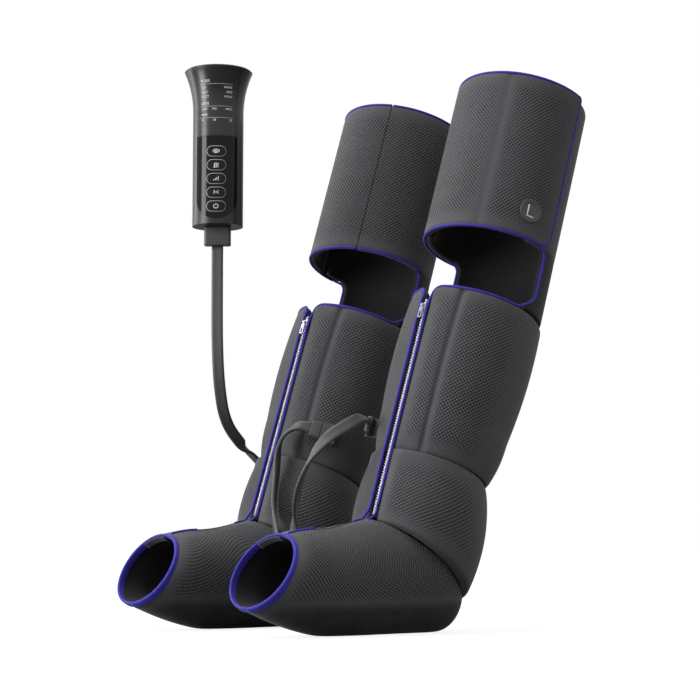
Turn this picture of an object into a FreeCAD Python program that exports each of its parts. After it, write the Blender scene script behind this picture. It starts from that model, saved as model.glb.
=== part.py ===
"""A pair of air-compression leg sleeves with a hand-held pump and flat air hoses.

Millimetres. +X is the wearer's left, the toes point to -Y and +Z is up. The soles stand on Z = 0.
Each sleeve is drawn once as the left one, in a frame whose Z runs up the leg, and the right one is its
mirror image. Angles round the leg are counted from the front: positive to the outside of the leg.
"""
import FreeCAD, Part
import math
import os

V = FreeCAD.Vector

# ------------------------------------------------------------------ driving sizes: the sleeves
boot_spacing = 233.0         # between the middles of the two sleeves
middle_shift = -11.2         # puts the middle of the outline over the origin
crease_y = 32.0              # middle of the crease between ankle and calf, from the ankle point
crease_z = 192.5
calf_lean_angle = 21.3       # the calf leans back by this many degrees
thigh_lean_angle = 17.5      # and the thigh by this many
ankle_lean_angle = 12.0
ankle_fore = 7.0             # the ankle's axis passes this far before the crease's middle

leg_room_r = 66.0            # clear radius inside the calf, at the crease
ankle_room_r = 52.0          # and inside the ankle
calf_low_r = 70.5            # outside of the calf wrap at the crease
calf_mid_r = 85.0            # at its fullest
calf_top_r = 84.0            # at its upper rim
calf_rim_thick = 11.0        # the wrap's wall there
calf_len = 215.0             # from the crease to the upper rim
ankle_top_r = 71.5
ankle_mid_r = 81.5
ankle_mid_drop = 62.0        # its fullest place lies this far below the crease
ankle_low_r = 60.0
ankle_len = 165.0
crease_reach = 30.0          # the ankle is drawn this far past the crease and then cut along it

heel_plane_y = -56.5         # the seam between ankle and foot: a plane through this front point
heel_plane_z = 132.0
heel_plane_angle = 36.9      # that falls towards the heel by this many degrees

fabric_gap = 0.3             # between neighbouring padded pieces

calf_room_top_r = calf_top_r - calf_rim_thick
knee_fold_z = 42.5           # the back panel folds here, above the calf's rim
panel_half_angle = 76.0      # the back panel reaches this far round from the middle of the back

cuff_low_z = 86.5            # lower rim of the thigh cuff, above the calf's rim
cuff_top_z = 298.5
cuff_out_r = 88.0
flap_thick = 10.5            # wall of the flap's pad
panel_thick = 8.0            # wall of the back panel and of the cuff's thin edge
tongue_thick = 4.6           # the flap's end, which laps over the thin edge
flap_hinge_angle = -35.0     # where the flap is sewn to the cuff
flap_pad_angle = 76.0        # the thick part of the flap ends here
flap_free_angle = 102.0      # free edge of the flap
cuff_side_angle = -104.0     # the thick part of the cuff ends here
overlap_start_angle = 78.0   # the cuff's thin edge, under the flap, starts here
tongue_gap = 1.4             # between cuff and flap where they overlap: room for hook and loop
cuff_in_r = cuff_out_r - flap_thick
panel_out_r = cuff_out_r - tongue_thick - tongue_gap
panel_in_r = panel_out_r - panel_thick

patch_first_angle = 82.0     # hook patch on the cuff's thin edge
patch_last_angle = 99.0
patch_margin = 18.0
patch_thick = 0.8
patch_seam = 0.25            # thickness of the glue line under the patch

bladder_thick = 4.0          # each flat air bladder of calf and thigh
bladder_room = 0.3           # room round a bladder in its pocket
calf_lining = 1.6            # cloth between the calf's bladder and the leg
calf_bladder_low_z = 62.0
calf_bladder_top_z = 190.0
calf_bladder_angle = 75.0
thigh_lining = 3.3           # cloth between the thigh's bladder and the leg
thigh_bladder_angle = 60.0
thigh_bladder_margin = 25.0
heat_pad_thick = 1.6
heat_pad_lining = 3.0
heat_pad_half_angle = 24.0
heat_pad_low_z = 122.0
heat_pad_top_z = 232.0

pipe_r = 1.9                 # fabric piping on the edges
toe_pipe_r = 3.6

# ------------------------------------------------------------------ driving sizes: the foot
toe_y = -226.0               # middle of the toe opening
toe_z = 75.0
toe_half_w = 52.0
toe_half_h = 49.0
toe_tilt_angle = 30.0        # the opening leans back by this many degrees
ball_y = -150.0
ball_z = 64.0
ball_half_w = 60.0
ball_half_h = 62.5
ball_tilt_angle = 14.0
arch_y = -70.0
arch_z = 66.0
arch_half_w = 64.0
arch_half_h = 70.0
instep_y = 0.0
instep_z = 64.0
instep_half_w = 64.0
instep_half_h = 68.0
heel_y = 34.0
heel_z = 54.0
heel_half_w = 51.0
heel_half_h = 56.0
heel_end_y = 56.0
heel_end_z = 48.0
heel_end_half_w = 27.0
heel_end_half_h = 26.0
foot_wall = 13.0             # padding round the foot
sole_thick = 26.0
foot_bladder_half_w = 27.0
foot_bladder_first_y = -148.0
foot_bladder_last_y = 5.0
foot_bladder_z = 12.0
foot_bladder_thick = 9.0

# ------------------------------------------------------------------ driving sizes: the zip
zip_low_y = -62.0            # lower end of the zip's teeth
zip_low_z = 141.0
zip_lean_angle = 18.2
zip_below_calf = 64.0        # the teeth start this far below the calf, along the zip
zip_len = calf_len + zip_below_calf
zip_room = 0.8               # between the zip's tape and the padding beside it
slot_depth = 60.0            # the slot for the zip reaches this far past the tape
tape_ends = 3.5              # and the tape this far past the teeth
tape_half_w = 7.0
tape_thick = 1.2
teeth_half_w = 2.6
teeth_thick = 2.0
slider_len = 13.0
slider_half_w = 5.0
slider_plate = 2.6
slider_gap = 0.2
slider_below_top = 6.0       # the slider stops this far below the top of the teeth
pull_len = 17.0
pull_half_w = 3.2
pull_thick = 1.4
pull_pin_r = 0.7
pull_clearance = 0.06
pull_rim = 1.6
pull_neck = 3.6              # the tab starts this far below the pin
knuckle_wall = 0.7
knuckle_half = 1.4           # half of the room between the slider's ears
ear_thick = 1.2
ear_half = 1.2
pin_stand = 1.5              # the pin stands this far before the slider's plate
pin_drop = 3.0               # and lies this far below its top

# ------------------------------------------------------------------ driving sizes: badge, port and plugs
badge_angle = 74.0
badge_z = 121.5
badge_r = 12.5
badge_thick = 2.2
badge_sink = 1.0             # the flap's pad is pressed in under the badge

port_angle = -56.0           # on the inner side of the calf
port_z = 38.5                # above the crease
port_len = 20.0              # round the leg
port_height = 25.0           # along the leg
port_sink = 4.5              # the port is let into the calf's wall this far
port_stand = 15.5            # and stands out of it this far
plug_len = 14.0
plug_height = 24.0
plug_stand = 5.9             # between the plug and the calf's wall
plug_thick = 8.6
nose_len = 11.0
nose_height = 17.0
nose_thick = 5.0
plug_clearance = 0.1

# ------------------------------------------------------------------ driving sizes: the pump
pump_x = -116.0              # the pump hangs by the outer side of the right sleeve
pump_y = -124.5
pump_z = 510.0
pump_turn_angle = 50.0       # its keys face this way round
body_r = 32.5
flare_r = 43.8
flare_start_z = 148.0
shell_top_z = 201.0
shell_wall = 2.4
housing_gap = 0.1            # between the two housings
floor_thick = 3.0
cap_gap = 0.6
cap_inset = 2.3              # the lid is this much smaller than the flared end
cap_r = flare_r - cap_inset
cap_thick = 5.0
cap_edge = 1.6               # height of the lid's upright edge
cap_dome = 3.0
cap_flat_r = 4.0             # the top of the dome is flat this far
label_half_angle = 50.0
label_low_z = 113.0
label_top_z = 197.0
bezel_inset = 7.0            # the bezel is this much narrower than the body on each side
bezel_half_w = body_r - bezel_inset
bezel_low_z = 6.0
bezel_top_z = 112.4
bezel_depth = 1.6            # depth of the pocket that holds the gloss bezel
bezel_gap = 0.2
panel_back_y = 14.0          # the bezel's curved sides end this far before the pump's axis
panel_sink = 0.1             # both panels lie this far below the shell
label_depth = 0.8
key_half_w = 11.8
key_half_h = 6.2
key_pitch = 17.7
key_low_z = 21.6             # middle of the lowest key
key_count = 5
key_gap = 0.35
key_proud = 0.9
key_travel = 0.8
key_stem_half = 2.0
board_depth = 10.5           # the circuit board's face lies this far inside the body's front
pad_plane_y = board_depth - body_r
board_thick = 1.6
board_inset = 14.5           # the board is this much narrower than the body on each side
board_half_w = body_r - board_inset
board_low_z = 12.0
board_top_z = 104.0
mat_thick = 1.2
mat_half_w = 6.0
mat_ends = 8.0               # the mat reaches this far past the middles of the first and last key
carrier_depth = 8.0          # the carrier's plate lies this far behind the board's face
carrier_y = pad_plane_y + carrier_depth
carrier_thick = 2.4
carrier_low_z = 19.0
carrier_top_z = 128.0
post_w = 4.0
post_h = 5.0
post_x = board_half_w - 1.5 * post_w
shelf_half_w = 13.0
shelf_reach = 12.0
shelf_thick = 2.0
motor_y = 2.0                # the motor's and the valves' axes lie this far behind the pump's
motor_r = 12.0
shaft_r = 1.5
shaft_len = 6.0
shaft_gap = 0.1
motor_len = 34.0
motor_z = 118.0
pump_head_half = 14.0
pump_head_h = 22.0
spout_r = 2.5
spout_len = 7.0
spout_x = 8.0
manifold_half_w = 13.0
manifold_half_d = 8.0
manifold_h = 18.0
manifold_wall = 3.0          # beside the plug's nose
shelf_room = 6.0             # between the manifold and the shelf over it
valve_r = 4.5
valve_h = 20.0
valve_pitch = 11.0
jack_z = 30.0
jack_len = 11.0
jack_half = 4.5
jack_bore_r = 2.9
jack_pin_r = 1.0
jack_wall = 1.0              # the collar round the bore, in a hole as large as itself plus a gap
jack_gap = 0.1
jack_collar_len = 3.2
screw_r = 1.5
screw_room = 0.15
screw_head_h = 2.0
screw_sink = 2.0             # the heads lie this far below the shell at its back
screw_tip_y = 2.0            # the shanks start this far behind the pump's axis
screw_head_r = 2.8
screw_inset_z = 16.0
screw_inset = 10.5           # the screws stand this far inside the body's sides
screw_half_x = body_r - screw_inset

# ------------------------------------------------------------------ driving sizes: pump plug and hoses
pump_plug_half_w = 17.0
pump_plug_half_d = 8.0
pump_plug_h = 24.0
pump_nose_half_w = 12.0
pump_nose_half_d = 4.5
pump_nose_h = 12.0
pump_nose_gap = 0.1
hose_w = 15.0                # width of the flat hose
splitter_half_w = 27.0
splitter_half_l = 22.0
splitter_h = 15.0
splitter_round = 4.0
splitter_y = 8.0
floor_gap = 0.4              # the splitter and the hoses lie this far above the floor

# Hand-set points of the hoses, between the plugs and the splitter.
trunk_points = [(-116, -124.5, 424), (-116.6, -123.4, 358), (-120.5, -117, 306), (-135, -97, 262),
                (-164.6, -49.6, 236), (-198.8, 9, 213.3), (-212, 55.7, 175), (-206, 98, 122),
                (-181, 138, 72), (-138, 158, 32), (-90, 152, 10), (-46, 128, 8), (-16, 94, 8), (0, 62, 7.9)]
branch_left_points = [(80, -51, 258.5), (87, -76, 249), (81, -100, 235), (66, -113, 214), (45, -113, 187),
                      (23, -105, 161), (8, -95, 134), (3, -91, 106), (5, -90, 77), (11, -87, 50),
                      (14, -73.5, 25), (14, -46, 7.9)]
branch_right_points = [(-70, -35, 254.7), (-80.5, -44.6, 243.3), (-82.7, -48.4, 233.3), (-81.9, -52.5, 218),
                       (-79, -56, 192), (-74, -64.5, 162), (-66, -69.5, 138), (-52, -77, 117), (-37, -84, 98),
                       (-24.5, -89, 78), (-17, -88, 51), (-14.5, -74, 25), (-14, -46, 7.9)]
left_lead = 15.0             # straight length out of the left plug
right_lead = 9.0

beyond = 500.0               # blocks that cut or keep a part of a shape reach this far past it

os.makedirs("parts", exist_ok=True)


# ------------------------------------------------------------------ helpers
def on_circle(radius, angle, z=0.0):
    """The point at an angle round the leg, counted from the front."""
    a = math.radians(angle)
    return V(radius * math.sin(a), -radius * math.cos(a), z)


def sector(r_in, r_out, first, last, z_low, z_top):
    """A wall bent round the leg, between two radii, two angles and two heights."""
    middle = 0.5 * (first + last)
    inner = [on_circle(r_in, a, z_low) for a in (first, middle, last)]
    outer = [on_circle(r_out, a, z_low) for a in (first, middle, last)]
    edges = [Part.Arc(*inner).toShape(),
             Part.LineSegment(inner[2], outer[2]).toShape(),
             Part.Arc(*outer).toShape(),
             Part.LineSegment(outer[0], inner[0]).toShape()]
    face = Part.Face(Part.Wire(Part.__sortEdges__(edges)))
    return face.extrude(V(0, 0, z_top - z_low))


def box(x0, x1, y0, y1, z0, z1):
    """A box between two corners."""
    return Part.makeBox(x1 - x0, y1 - y0, z1 - z0, V(x0, y0, z0))


def slab(z_low, z_top):
    """A block between two heights that reaches past every shape."""
    return box(-beyond, beyond, -beyond, beyond, z_low, z_top)


def side_box(angle, t0, t1, r0, r1, z0, z1):
    """A box that stands square to the leg at an angle: t runs towards the front, r outwards."""
    block = box(t0, t1, -r1, -r0, z0, z1)
    block.rotate(V(0, 0, 0), V(0, 0, 1), angle)
    return block


def spun(points, first=0.0, angle=360.0):
    """Spins an outline of (radius, height) points about the Z axis; a 3-point tuple holds an arc."""
    edges = []
    start = points[0]
    for item in points[1:] + [points[0]]:
        if len(item) == 4:
            edges.append(Part.Arc(V(start[0], 0, start[1]), V(item[0], 0, item[1]),
                                  V(item[2], 0, item[3])).toShape())
            start = (item[2], item[3])
        else:
            edges.append(Part.LineSegment(V(start[0], 0, start[1]), V(item[0], 0, item[1])).toShape())
            start = item
    face = Part.Face(Part.Wire(edges))
    solid = face.revolve(V(0, 0, 0), V(0, 0, 1), angle)
    solid.rotate(V(0, 0, 0), V(0, 0, 1), first - 90.0)
    return solid


def leaned(shape, degrees, x, y, z):
    """Leans an upright shape back about its own origin and moves it to a place on the left sleeve."""
    moved = shape.copy()
    moved.rotate(V(0, 0, 0), V(1, 0, 0), -degrees)
    moved.translate(V(boot_spacing / 2 + x, middle_shift + y, z))
    return moved


def to_foot(shape):
    """Places a shape of the foot, drawn upright over the ankle point."""
    return leaned(shape, 0.0, 0.0, 0.0, 0.0)


def to_ankle(shape):
    """Places a shape of the ankle, drawn with the crease's height at zero."""
    return leaned(shape, ankle_lean_angle, 0.0, crease_y - ankle_fore, crease_z)


def to_calf(shape):
    """Places a shape of the calf, drawn with the crease's middle at the origin."""
    return leaned(shape, calf_lean_angle, 0.0, crease_y, crease_z)


def to_thigh(shape):
    """Places a shape of the knee or thigh, drawn with the middle of the calf's rim at the origin."""
    lean = math.radians(calf_lean_angle)
    return leaned(shape, thigh_lean_angle, 0.0, crease_y + calf_len * math.sin(lean),
                  crease_z + calf_len * math.cos(lean))


def to_zip(shape):
    """Places a shape of the zip, drawn with the lower end of the teeth's front at the origin."""
    return leaned(shape, zip_lean_angle, 0.0, zip_low_y, zip_low_z)


def point_in(place, x, y, z):
    """Where one point of a shape goes when the shape is placed."""
    return place(Part.Vertex(V(x, y, z))).Point


def mirrored(shape):
    """The same piece of the right sleeve."""
    return shape.mirror(V(0, 0, 0), V(1, 0, 0))


def to_pump(shape):
    """Moves a shape from the pump's own frame to where the pump hangs."""
    moved = shape.copy()
    moved.rotate(V(0, 0, 0), V(0, 0, 1), pump_turn_angle)
    moved.translate(V(pump_x, pump_y + middle_shift, pump_z))
    return moved


def save(name, shape):
    """Writes one node, and says what it holds."""
    for solid in shape.Solids:
        if not solid.isValid() or solid.Volume <= 0:
            print("not a sound solid:", name)
    shape.exportStep("parts/" + name + ".step")
    print(f"{name}: {len(shape.Solids)} solid(s), {shape.Volume / 1000:.1f} cm3")


def both(shape):
    """A piece of the left sleeve with its mirror image, as separate solids."""
    return Part.makeCompound([shape, mirrored(shape)])


def save_pair(name, shape):
    """Writes a piece of the left sleeve and its mirror image."""
    save(name + "_left", shape)
    save(name + "_right", mirrored(shape))


# ------------------------------------------------------------------ foot
def ellipse_wire(y, z, half_w, half_h, tilt):
    """An upright ellipse across the foot, leaned back by the tilt."""
    ellipse = Part.Ellipse(V(0, 0, 0), max(half_w, half_h), min(half_w, half_h))
    wire = Part.Wire([ellipse.toShape()])
    if half_h > half_w:
        wire.rotate(V(0, 0, 0), V(0, 0, 1), 90)
    wire.rotate(V(0, 0, 0), V(1, 0, 0), 90 - tilt)
    wire.translate(V(0, y, z))
    return wire


def foot_body(inset, straight=False):
    """The foot's rounded form, drawn in by the inset all round, with straight or curved lines between
    its sections."""
    sections = [(toe_y, toe_z, toe_half_w, toe_half_h, toe_tilt_angle),
                (ball_y, ball_z, ball_half_w, ball_half_h, ball_tilt_angle),
                (arch_y, arch_z, arch_half_w, arch_half_h, 0.0),
                (instep_y, instep_z, instep_half_w, instep_half_h, 0.0),
                (heel_y - inset, heel_z, heel_half_w, heel_half_h, 0.0),
                (heel_end_y - inset, heel_end_z, heel_end_half_w + inset / 2, heel_end_half_h + inset / 2, 0.0)]
    wires = [ellipse_wire(y, z, w - inset, h - inset, tilt) for y, z, w, h, tilt in sections]
    return Part.makeLoft(wires, True, straight)


def seam_half_space(offset):
    """A large block above the seam between foot and ankle, shifted up by an offset."""
    block = slab(0, beyond)
    block.rotate(V(0, 0, 0), V(1, 0, 0), -heel_plane_angle)
    fall = math.radians(heel_plane_angle)
    block.translate(V(0, heel_plane_y + offset * math.sin(fall), heel_plane_z + offset * math.cos(fall)))
    return block


def foot_shell():
    """The padded foot: open at the toes and at the ankle, flat under the sole."""
    hollow = foot_body(foot_wall, straight=True)
    opening = ellipse_wire(toe_y, toe_z, toe_half_w - foot_wall, toe_half_h - foot_wall, toe_tilt_angle)
    tilt = math.radians(toe_tilt_angle)
    mouth = Part.Face(opening).extrude(V(0, -math.cos(tilt), math.sin(tilt)) * foot_wall)
    above_sole = slab(sole_thick, beyond)
    shell = foot_body(0.0).common(slab(0, beyond))
    shell = shell.cut(seam_half_space(-fabric_gap))
    shell = to_foot(shell.cut([hollow.common(above_sole), mouth, foot_bladder(bladder_room)]))
    leg = to_ankle(Part.makeCylinder(ankle_room_r, 2 * beyond, V(0, 0, -beyond)))
    return shell.cut(leg.common(above_sole))


def foot_bladder(room):
    """The flat air bladder under the foot, or its pocket with room round it."""
    half = foot_bladder_half_w + room
    return box(-half, half, foot_bladder_first_y - room, foot_bladder_last_y + room,
               foot_bladder_z - room, foot_bladder_z + foot_bladder_thick + room)


def toe_piping():
    """The thick round piping at the toe opening."""
    inset = toe_pipe_r
    path = ellipse_wire(toe_y, toe_z, toe_half_w - inset, toe_half_h - inset, toe_tilt_angle)
    lean_back = math.radians(toe_tilt_angle)
    out = toe_pipe_r + fabric_gap
    path.translate(V(0, -out * math.cos(lean_back), out * math.sin(lean_back)))
    start = path.Edges[0].valueAt(path.Edges[0].FirstParameter)
    along = path.Edges[0].tangentAt(path.Edges[0].FirstParameter)
    ring = Part.Wire([Part.Circle(start, along, toe_pipe_r).toShape()])
    return path.makePipeShell([ring], True, True)


# ------------------------------------------------------------------ ankle and calf
def zip_slot():
    """The opening down the front of the sleeve that the zip closes."""
    half = tape_half_w + zip_room
    return to_zip(box(-half, half, -slot_depth, slot_depth, -slot_depth, zip_len + slot_depth))


def ankle_wrap():
    """The padded ankle, between the foot seam and the crease."""
    outline = [(ankle_room_r, -ankle_len), (ankle_low_r, -ankle_len),
               (ankle_mid_r, -ankle_mid_drop, ankle_top_r, 0.0), (ankle_top_r, crease_reach),
               (leg_room_r, crease_reach), (leg_room_r, 0.0)]
    above_crease = to_calf(slab(-fabric_gap, beyond))
    wrap = to_ankle(spun(outline)).cut([above_crease, zip_slot()])
    return wrap.common(to_foot(seam_half_space(0.0)))


def calf_inner(z):
    """Inner radius of the calf wrap at a height above the crease."""
    return leg_room_r + (calf_room_top_r - leg_room_r) * z / calf_len


def calf_outer(z):
    """Outer radius of the calf wrap at a height above the crease."""
    bow = Part.Circle(V(calf_low_r, 0, 0), V(calf_mid_r, 0, calf_len / 2), V(calf_top_r, 0, calf_len))
    side = 1 if calf_mid_r > bow.Center.x else -1
    return bow.Center.x + side * math.sqrt(bow.Radius ** 2 - (z - bow.Center.z) ** 2)


def calf_wrap():
    """The padded calf with the pocket of the air bladder and the seat of the hose port."""
    outline = [(leg_room_r, 0.0), (calf_low_r, 0.0), (calf_mid_r, calf_len / 2, calf_top_r, calf_len),
               (calf_room_top_r, calf_len)]
    wrap = spun(outline).cut([calf_bladder(bladder_room), port_block(fabric_gap)])
    return to_calf(wrap).cut(zip_slot())


def calf_bladder(room):
    """The calf's flat air bladder, at the back, or its pocket with room round it."""
    half = calf_bladder_angle + math.degrees(room / calf_inner(calf_bladder_low_z))
    outline = []
    for z, side in ((calf_bladder_low_z, -1), (calf_bladder_top_z, 1)):
        radius = calf_inner(z) + calf_lining
        pair = [(radius - room, z + side * room), (radius + bladder_thick + room, z + side * room)]
        outline += pair[::-side]
    return spun(outline, 180 - half, 2 * half)


def port_block(room):
    """The block that the hose plugs into, on the inner side of the calf."""
    half = port_len / 2 + room
    wall_r = calf_outer(port_z)
    return side_box(port_angle, -half, half, wall_r - port_sink - room, wall_r + port_stand + room,
                    port_z - port_height / 2 - room, port_z + port_height / 2 + room)


def plug_middle_r():
    """Distance of the hose plug's middle from the calf's axis."""
    return calf_outer(port_z) + plug_stand + plug_thick / 2


def plug_nose(room):
    """The flat nose of the hose plug, or its socket with room round it."""
    middle = plug_middle_r()
    start = port_len / 2 - nose_len
    return side_box(port_angle, start - room, port_len / 2 + fabric_gap + room,
                    middle - nose_thick / 2 - room, middle + nose_thick / 2 + room,
                    port_z - nose_height / 2 - room, port_z + nose_height / 2 + room)


def hose_port():
    """The port with its socket."""
    return port_block(0.0).cut(plug_nose(plug_clearance))


def hose_plug():
    """The plug at the end of a hose: a grip with a flat nose."""
    start = port_len / 2 + fabric_gap
    grip = side_box(port_angle, start, start + plug_len, plug_middle_r() - plug_thick / 2,
                    plug_middle_r() + plug_thick / 2, port_z - plug_height / 2,
                    port_z + plug_height / 2)
    return grip.fuse(plug_nose(0.0)).removeSplitter()


def plug_exit(lead):
    """Where the hose leaves the left plug, and the end of its straight lead."""
    turn = FreeCAD.Rotation(V(0, 0, 1), port_angle)
    end = turn.multVec(V(port_len / 2 + fabric_gap + plug_len, -plug_middle_r(), port_z))
    ahead = end + turn.multVec(V(lead, 0, 0))
    return point_in(to_calf, *end), point_in(to_calf, *ahead)


def knee_panel():
    """The lower part of the back panel, from the calf's rim to the fold."""
    panel = to_thigh(sector(panel_in_r, panel_out_r, 180 - panel_half_angle, 180 + panel_half_angle,
                            -knee_fold_z, knee_fold_z - fabric_gap / 2))
    return panel.cut(to_calf(slab(0, calf_len + fabric_gap)))


# ------------------------------------------------------------------ thigh
def thigh_cuff():
    """The fixed part of the thigh cuff with the upper part of the back panel."""
    hinge = 360 + flap_hinge_angle
    gap_angle = math.degrees(fabric_gap / cuff_out_r)
    panel = sector(panel_in_r, panel_out_r, 180 - panel_half_angle, 180 + panel_half_angle,
                   knee_fold_z + fabric_gap / 2, cuff_low_z)
    thin = sector(panel_in_r, panel_out_r, overlap_start_angle, 360 + cuff_side_angle,
                  cuff_low_z, cuff_top_z)
    thick = sector(panel_in_r, cuff_out_r, 360 + cuff_side_angle, hinge - gap_angle,
                   cuff_low_z, cuff_top_z)
    cuff = panel.fuse([thin, thick]).removeSplitter()
    return cuff.cut(heat_pad(bladder_room))


def heat_pad(room):
    """The flat heating pad behind the knee, or its pocket with room round it."""
    heat_pad_r = panel_in_r + heat_pad_lining
    turn = math.degrees(room / heat_pad_r)
    return sector(heat_pad_r - room, heat_pad_r + heat_pad_thick + room,
                  180 - heat_pad_half_angle - turn, 180 + heat_pad_half_angle + turn,
                  heat_pad_low_z - room, heat_pad_top_z + room)


def thigh_flap():
    """The flap that wraps round the front of the thigh and laps over the cuff's thin edge."""
    pad = sector(cuff_in_r, cuff_out_r, flap_hinge_angle, flap_pad_angle, cuff_low_z, cuff_top_z)
    tongue = sector(panel_out_r + tongue_gap, cuff_out_r, flap_pad_angle, flap_free_angle,
                    cuff_low_z, cuff_top_z)
    flap = pad.fuse(tongue).removeSplitter()
    return flap.cut([thigh_bladder(bladder_room), badge(fabric_gap)])


def thigh_bladder(room):
    """The flap's flat air bladder, or its pocket with room round it."""
    thigh_bladder_r = cuff_in_r + thigh_lining
    turn = math.degrees(room / thigh_bladder_r)
    middle = 0.5 * (flap_hinge_angle + flap_pad_angle)
    half = thigh_bladder_angle / 2 + turn
    return sector(thigh_bladder_r - room, thigh_bladder_r + bladder_thick + room,
                  middle - half, middle + half,
                  cuff_low_z + thigh_bladder_margin - room, cuff_top_z - thigh_bladder_margin + room)


def hook_patch():
    """The strip of hooks on the cuff's thin edge, under the flap."""
    seat_r = panel_out_r + patch_seam
    return sector(seat_r, seat_r + patch_thick, patch_first_angle, patch_last_angle,
                  cuff_low_z + patch_margin, cuff_top_z - patch_margin)


def badge(room):
    """The round badge that tells left from right."""
    disc = Part.makeCylinder(badge_r + room, badge_thick + badge_sink + room,
                             V(0, -cuff_out_r + badge_sink + room, badge_z), V(0, -1, 0))
    disc.rotate(V(0, 0, 0), V(0, 0, 1), badge_angle)
    return disc


# ------------------------------------------------------------------ piping
def rim_pipe(radius, first, last, z):
    """Round piping along a rim, between two angles."""
    middle = 0.5 * (first + last)
    path = Part.Wire([Part.Arc(on_circle(radius, first, z), on_circle(radius, middle, z),
                               on_circle(radius, last, z)).toShape()])
    start = path.Edges[0].valueAt(path.Edges[0].FirstParameter)
    along = path.Edges[0].tangentAt(path.Edges[0].FirstParameter)
    ring = Part.Wire([Part.Circle(start, along, pipe_r).toShape()])
    return path.makePipeShell([ring], True, True)


def straight_pipe(radius, angle, z_low, z_top):
    """Round piping along the leg."""
    return Part.makeCylinder(pipe_r, z_top - z_low, on_circle(radius, angle, z_low))


def calf_rim_piping():
    """Piping on the calf's upper rim, from the zip to the back panel on both sides."""
    out = pipe_r + fabric_gap
    near = math.degrees((tape_half_w + zip_room + 2 * pipe_r) / calf_top_r)
    far = 180 - panel_half_angle - math.degrees((3 * pipe_r + 2 * fabric_gap) / calf_top_r)
    return Part.makeCompound([rim_pipe(calf_top_r - pipe_r, near, far, calf_len + out),
                              rim_pipe(calf_top_r - pipe_r, -far, -near, calf_len + out)])


def panel_edge_angle():
    """Angle of the piping beside the back panel."""
    return 180 - panel_half_angle - math.degrees((pipe_r + fabric_gap) / panel_out_r)


def knee_edge_piping():
    """Piping beside the lower part of the back panel, down to the calf's rim."""
    low = 2 * pipe_r + 2 * fabric_gap
    return Part.makeCompound([straight_pipe(panel_out_r - pipe_r, side * panel_edge_angle(), low,
                                            knee_fold_z - fabric_gap) for side in (1, -1)])


def thigh_piping():
    """Piping on the thigh's side of the knee opening and on the cuff's rims."""
    out = pipe_r + fabric_gap
    hinge = 360 + flap_hinge_angle - math.degrees(2 * fabric_gap / cuff_out_r)
    pieces = [straight_pipe(panel_out_r - pipe_r, side * panel_edge_angle(), knee_fold_z + fabric_gap,
                            cuff_low_z - fabric_gap) for side in (1, -1)]
    pieces.append(rim_pipe(cuff_out_r - pipe_r, 360 + cuff_side_angle + 3, hinge, cuff_low_z - out))
    pieces.append(rim_pipe(cuff_out_r - pipe_r, 360 + cuff_side_angle, hinge, cuff_top_z + out))
    return Part.makeCompound(pieces)


def flap_piping():
    """Piping round the flap's three free edges."""
    out = pipe_r + fabric_gap
    edge = flap_free_angle + math.degrees(out / cuff_out_r)
    first = flap_hinge_angle + math.degrees(fabric_gap / cuff_out_r)
    return Part.makeCompound([rim_pipe(cuff_out_r - pipe_r, first, flap_free_angle, cuff_low_z - out),
                              rim_pipe(cuff_out_r - pipe_r, first, flap_free_angle, cuff_top_z + out),
                              straight_pipe(cuff_out_r - pipe_r, edge, cuff_low_z - out, cuff_top_z + out)])


# ------------------------------------------------------------------ zip
def zip_chain():
    """The zip's tape and its teeth, from the foot seam to the calf's rim."""
    tape = box(-tape_half_w, tape_half_w, teeth_thick, teeth_thick + tape_thick, -tape_ends,
               zip_len + tape_ends)
    teeth = box(-teeth_half_w, teeth_half_w, 0, teeth_thick, 0, zip_len)
    return tape.fuse(teeth).removeSplitter()


def slider_top():
    """Upper end of the zip slider at rest."""
    return zip_len - slider_below_top


def pull_pin():
    """Depth and height of the pin that the pull swings on."""
    return -(slider_gap + slider_plate + pin_stand), slider_top() - pin_drop


def zip_slider():
    """The slider: a plate over the teeth with a lip down each side, and two ears with the pull's pin."""
    top = slider_top()
    low = top - slider_len
    back = -slider_gap
    pin_y, pin_z = pull_pin()
    pieces = []
    for side in (1, -1):
        x0, x1 = sorted((side * (teeth_half_w + slider_gap), side * slider_half_w))
        pieces.append(box(x0, x1, back, teeth_thick - slider_gap, low, top))
        x0, x1 = sorted((side * knuckle_half, side * (knuckle_half + ear_thick)))
        pieces.append(box(x0, x1, pin_y - ear_half, back - slider_plate, pin_z - ear_half, pin_z + ear_half))
    pieces.append(Part.makeCylinder(pull_pin_r, 2 * knuckle_half, V(-knuckle_half, pin_y, pin_z), V(1, 0, 0)))
    plate = box(-slider_half_w, slider_half_w, back - slider_plate, back, low, top)
    return plate.fuse(pieces).removeSplitter()


def zip_pull():
    """The pull tab: a knuckle round the slider's pin, with a long tab and a slot below it."""
    pin_y, pin_z = pull_pin()
    half_t = pull_thick / 2
    half_k = knuckle_half - slider_gap
    knuckle = Part.makeCylinder(pull_pin_r + knuckle_wall, 2 * half_k, V(-half_k, pin_y, pin_z), V(1, 0, 0))
    tab = box(-pull_half_w, pull_half_w, pin_y - half_t, pin_y + half_t, pin_z - pull_len, pin_z - pull_neck)
    neck = box(-half_k, half_k, pin_y - half_t, pin_y + half_t, pin_z - pull_neck, pin_z)
    inner = pull_half_w - pull_rim
    hole = box(-inner, inner, pin_y - pull_thick, pin_y + pull_thick, pin_z - pull_len + pull_rim,
               pin_z - pull_len / 2)
    bore = Part.makeCylinder(pull_pin_r + pull_clearance, 4 * half_k, V(-2 * half_k, pin_y, pin_z), V(1, 0, 0))
    return knuckle.fuse([neck, tab]).cut([hole, bore])


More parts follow.
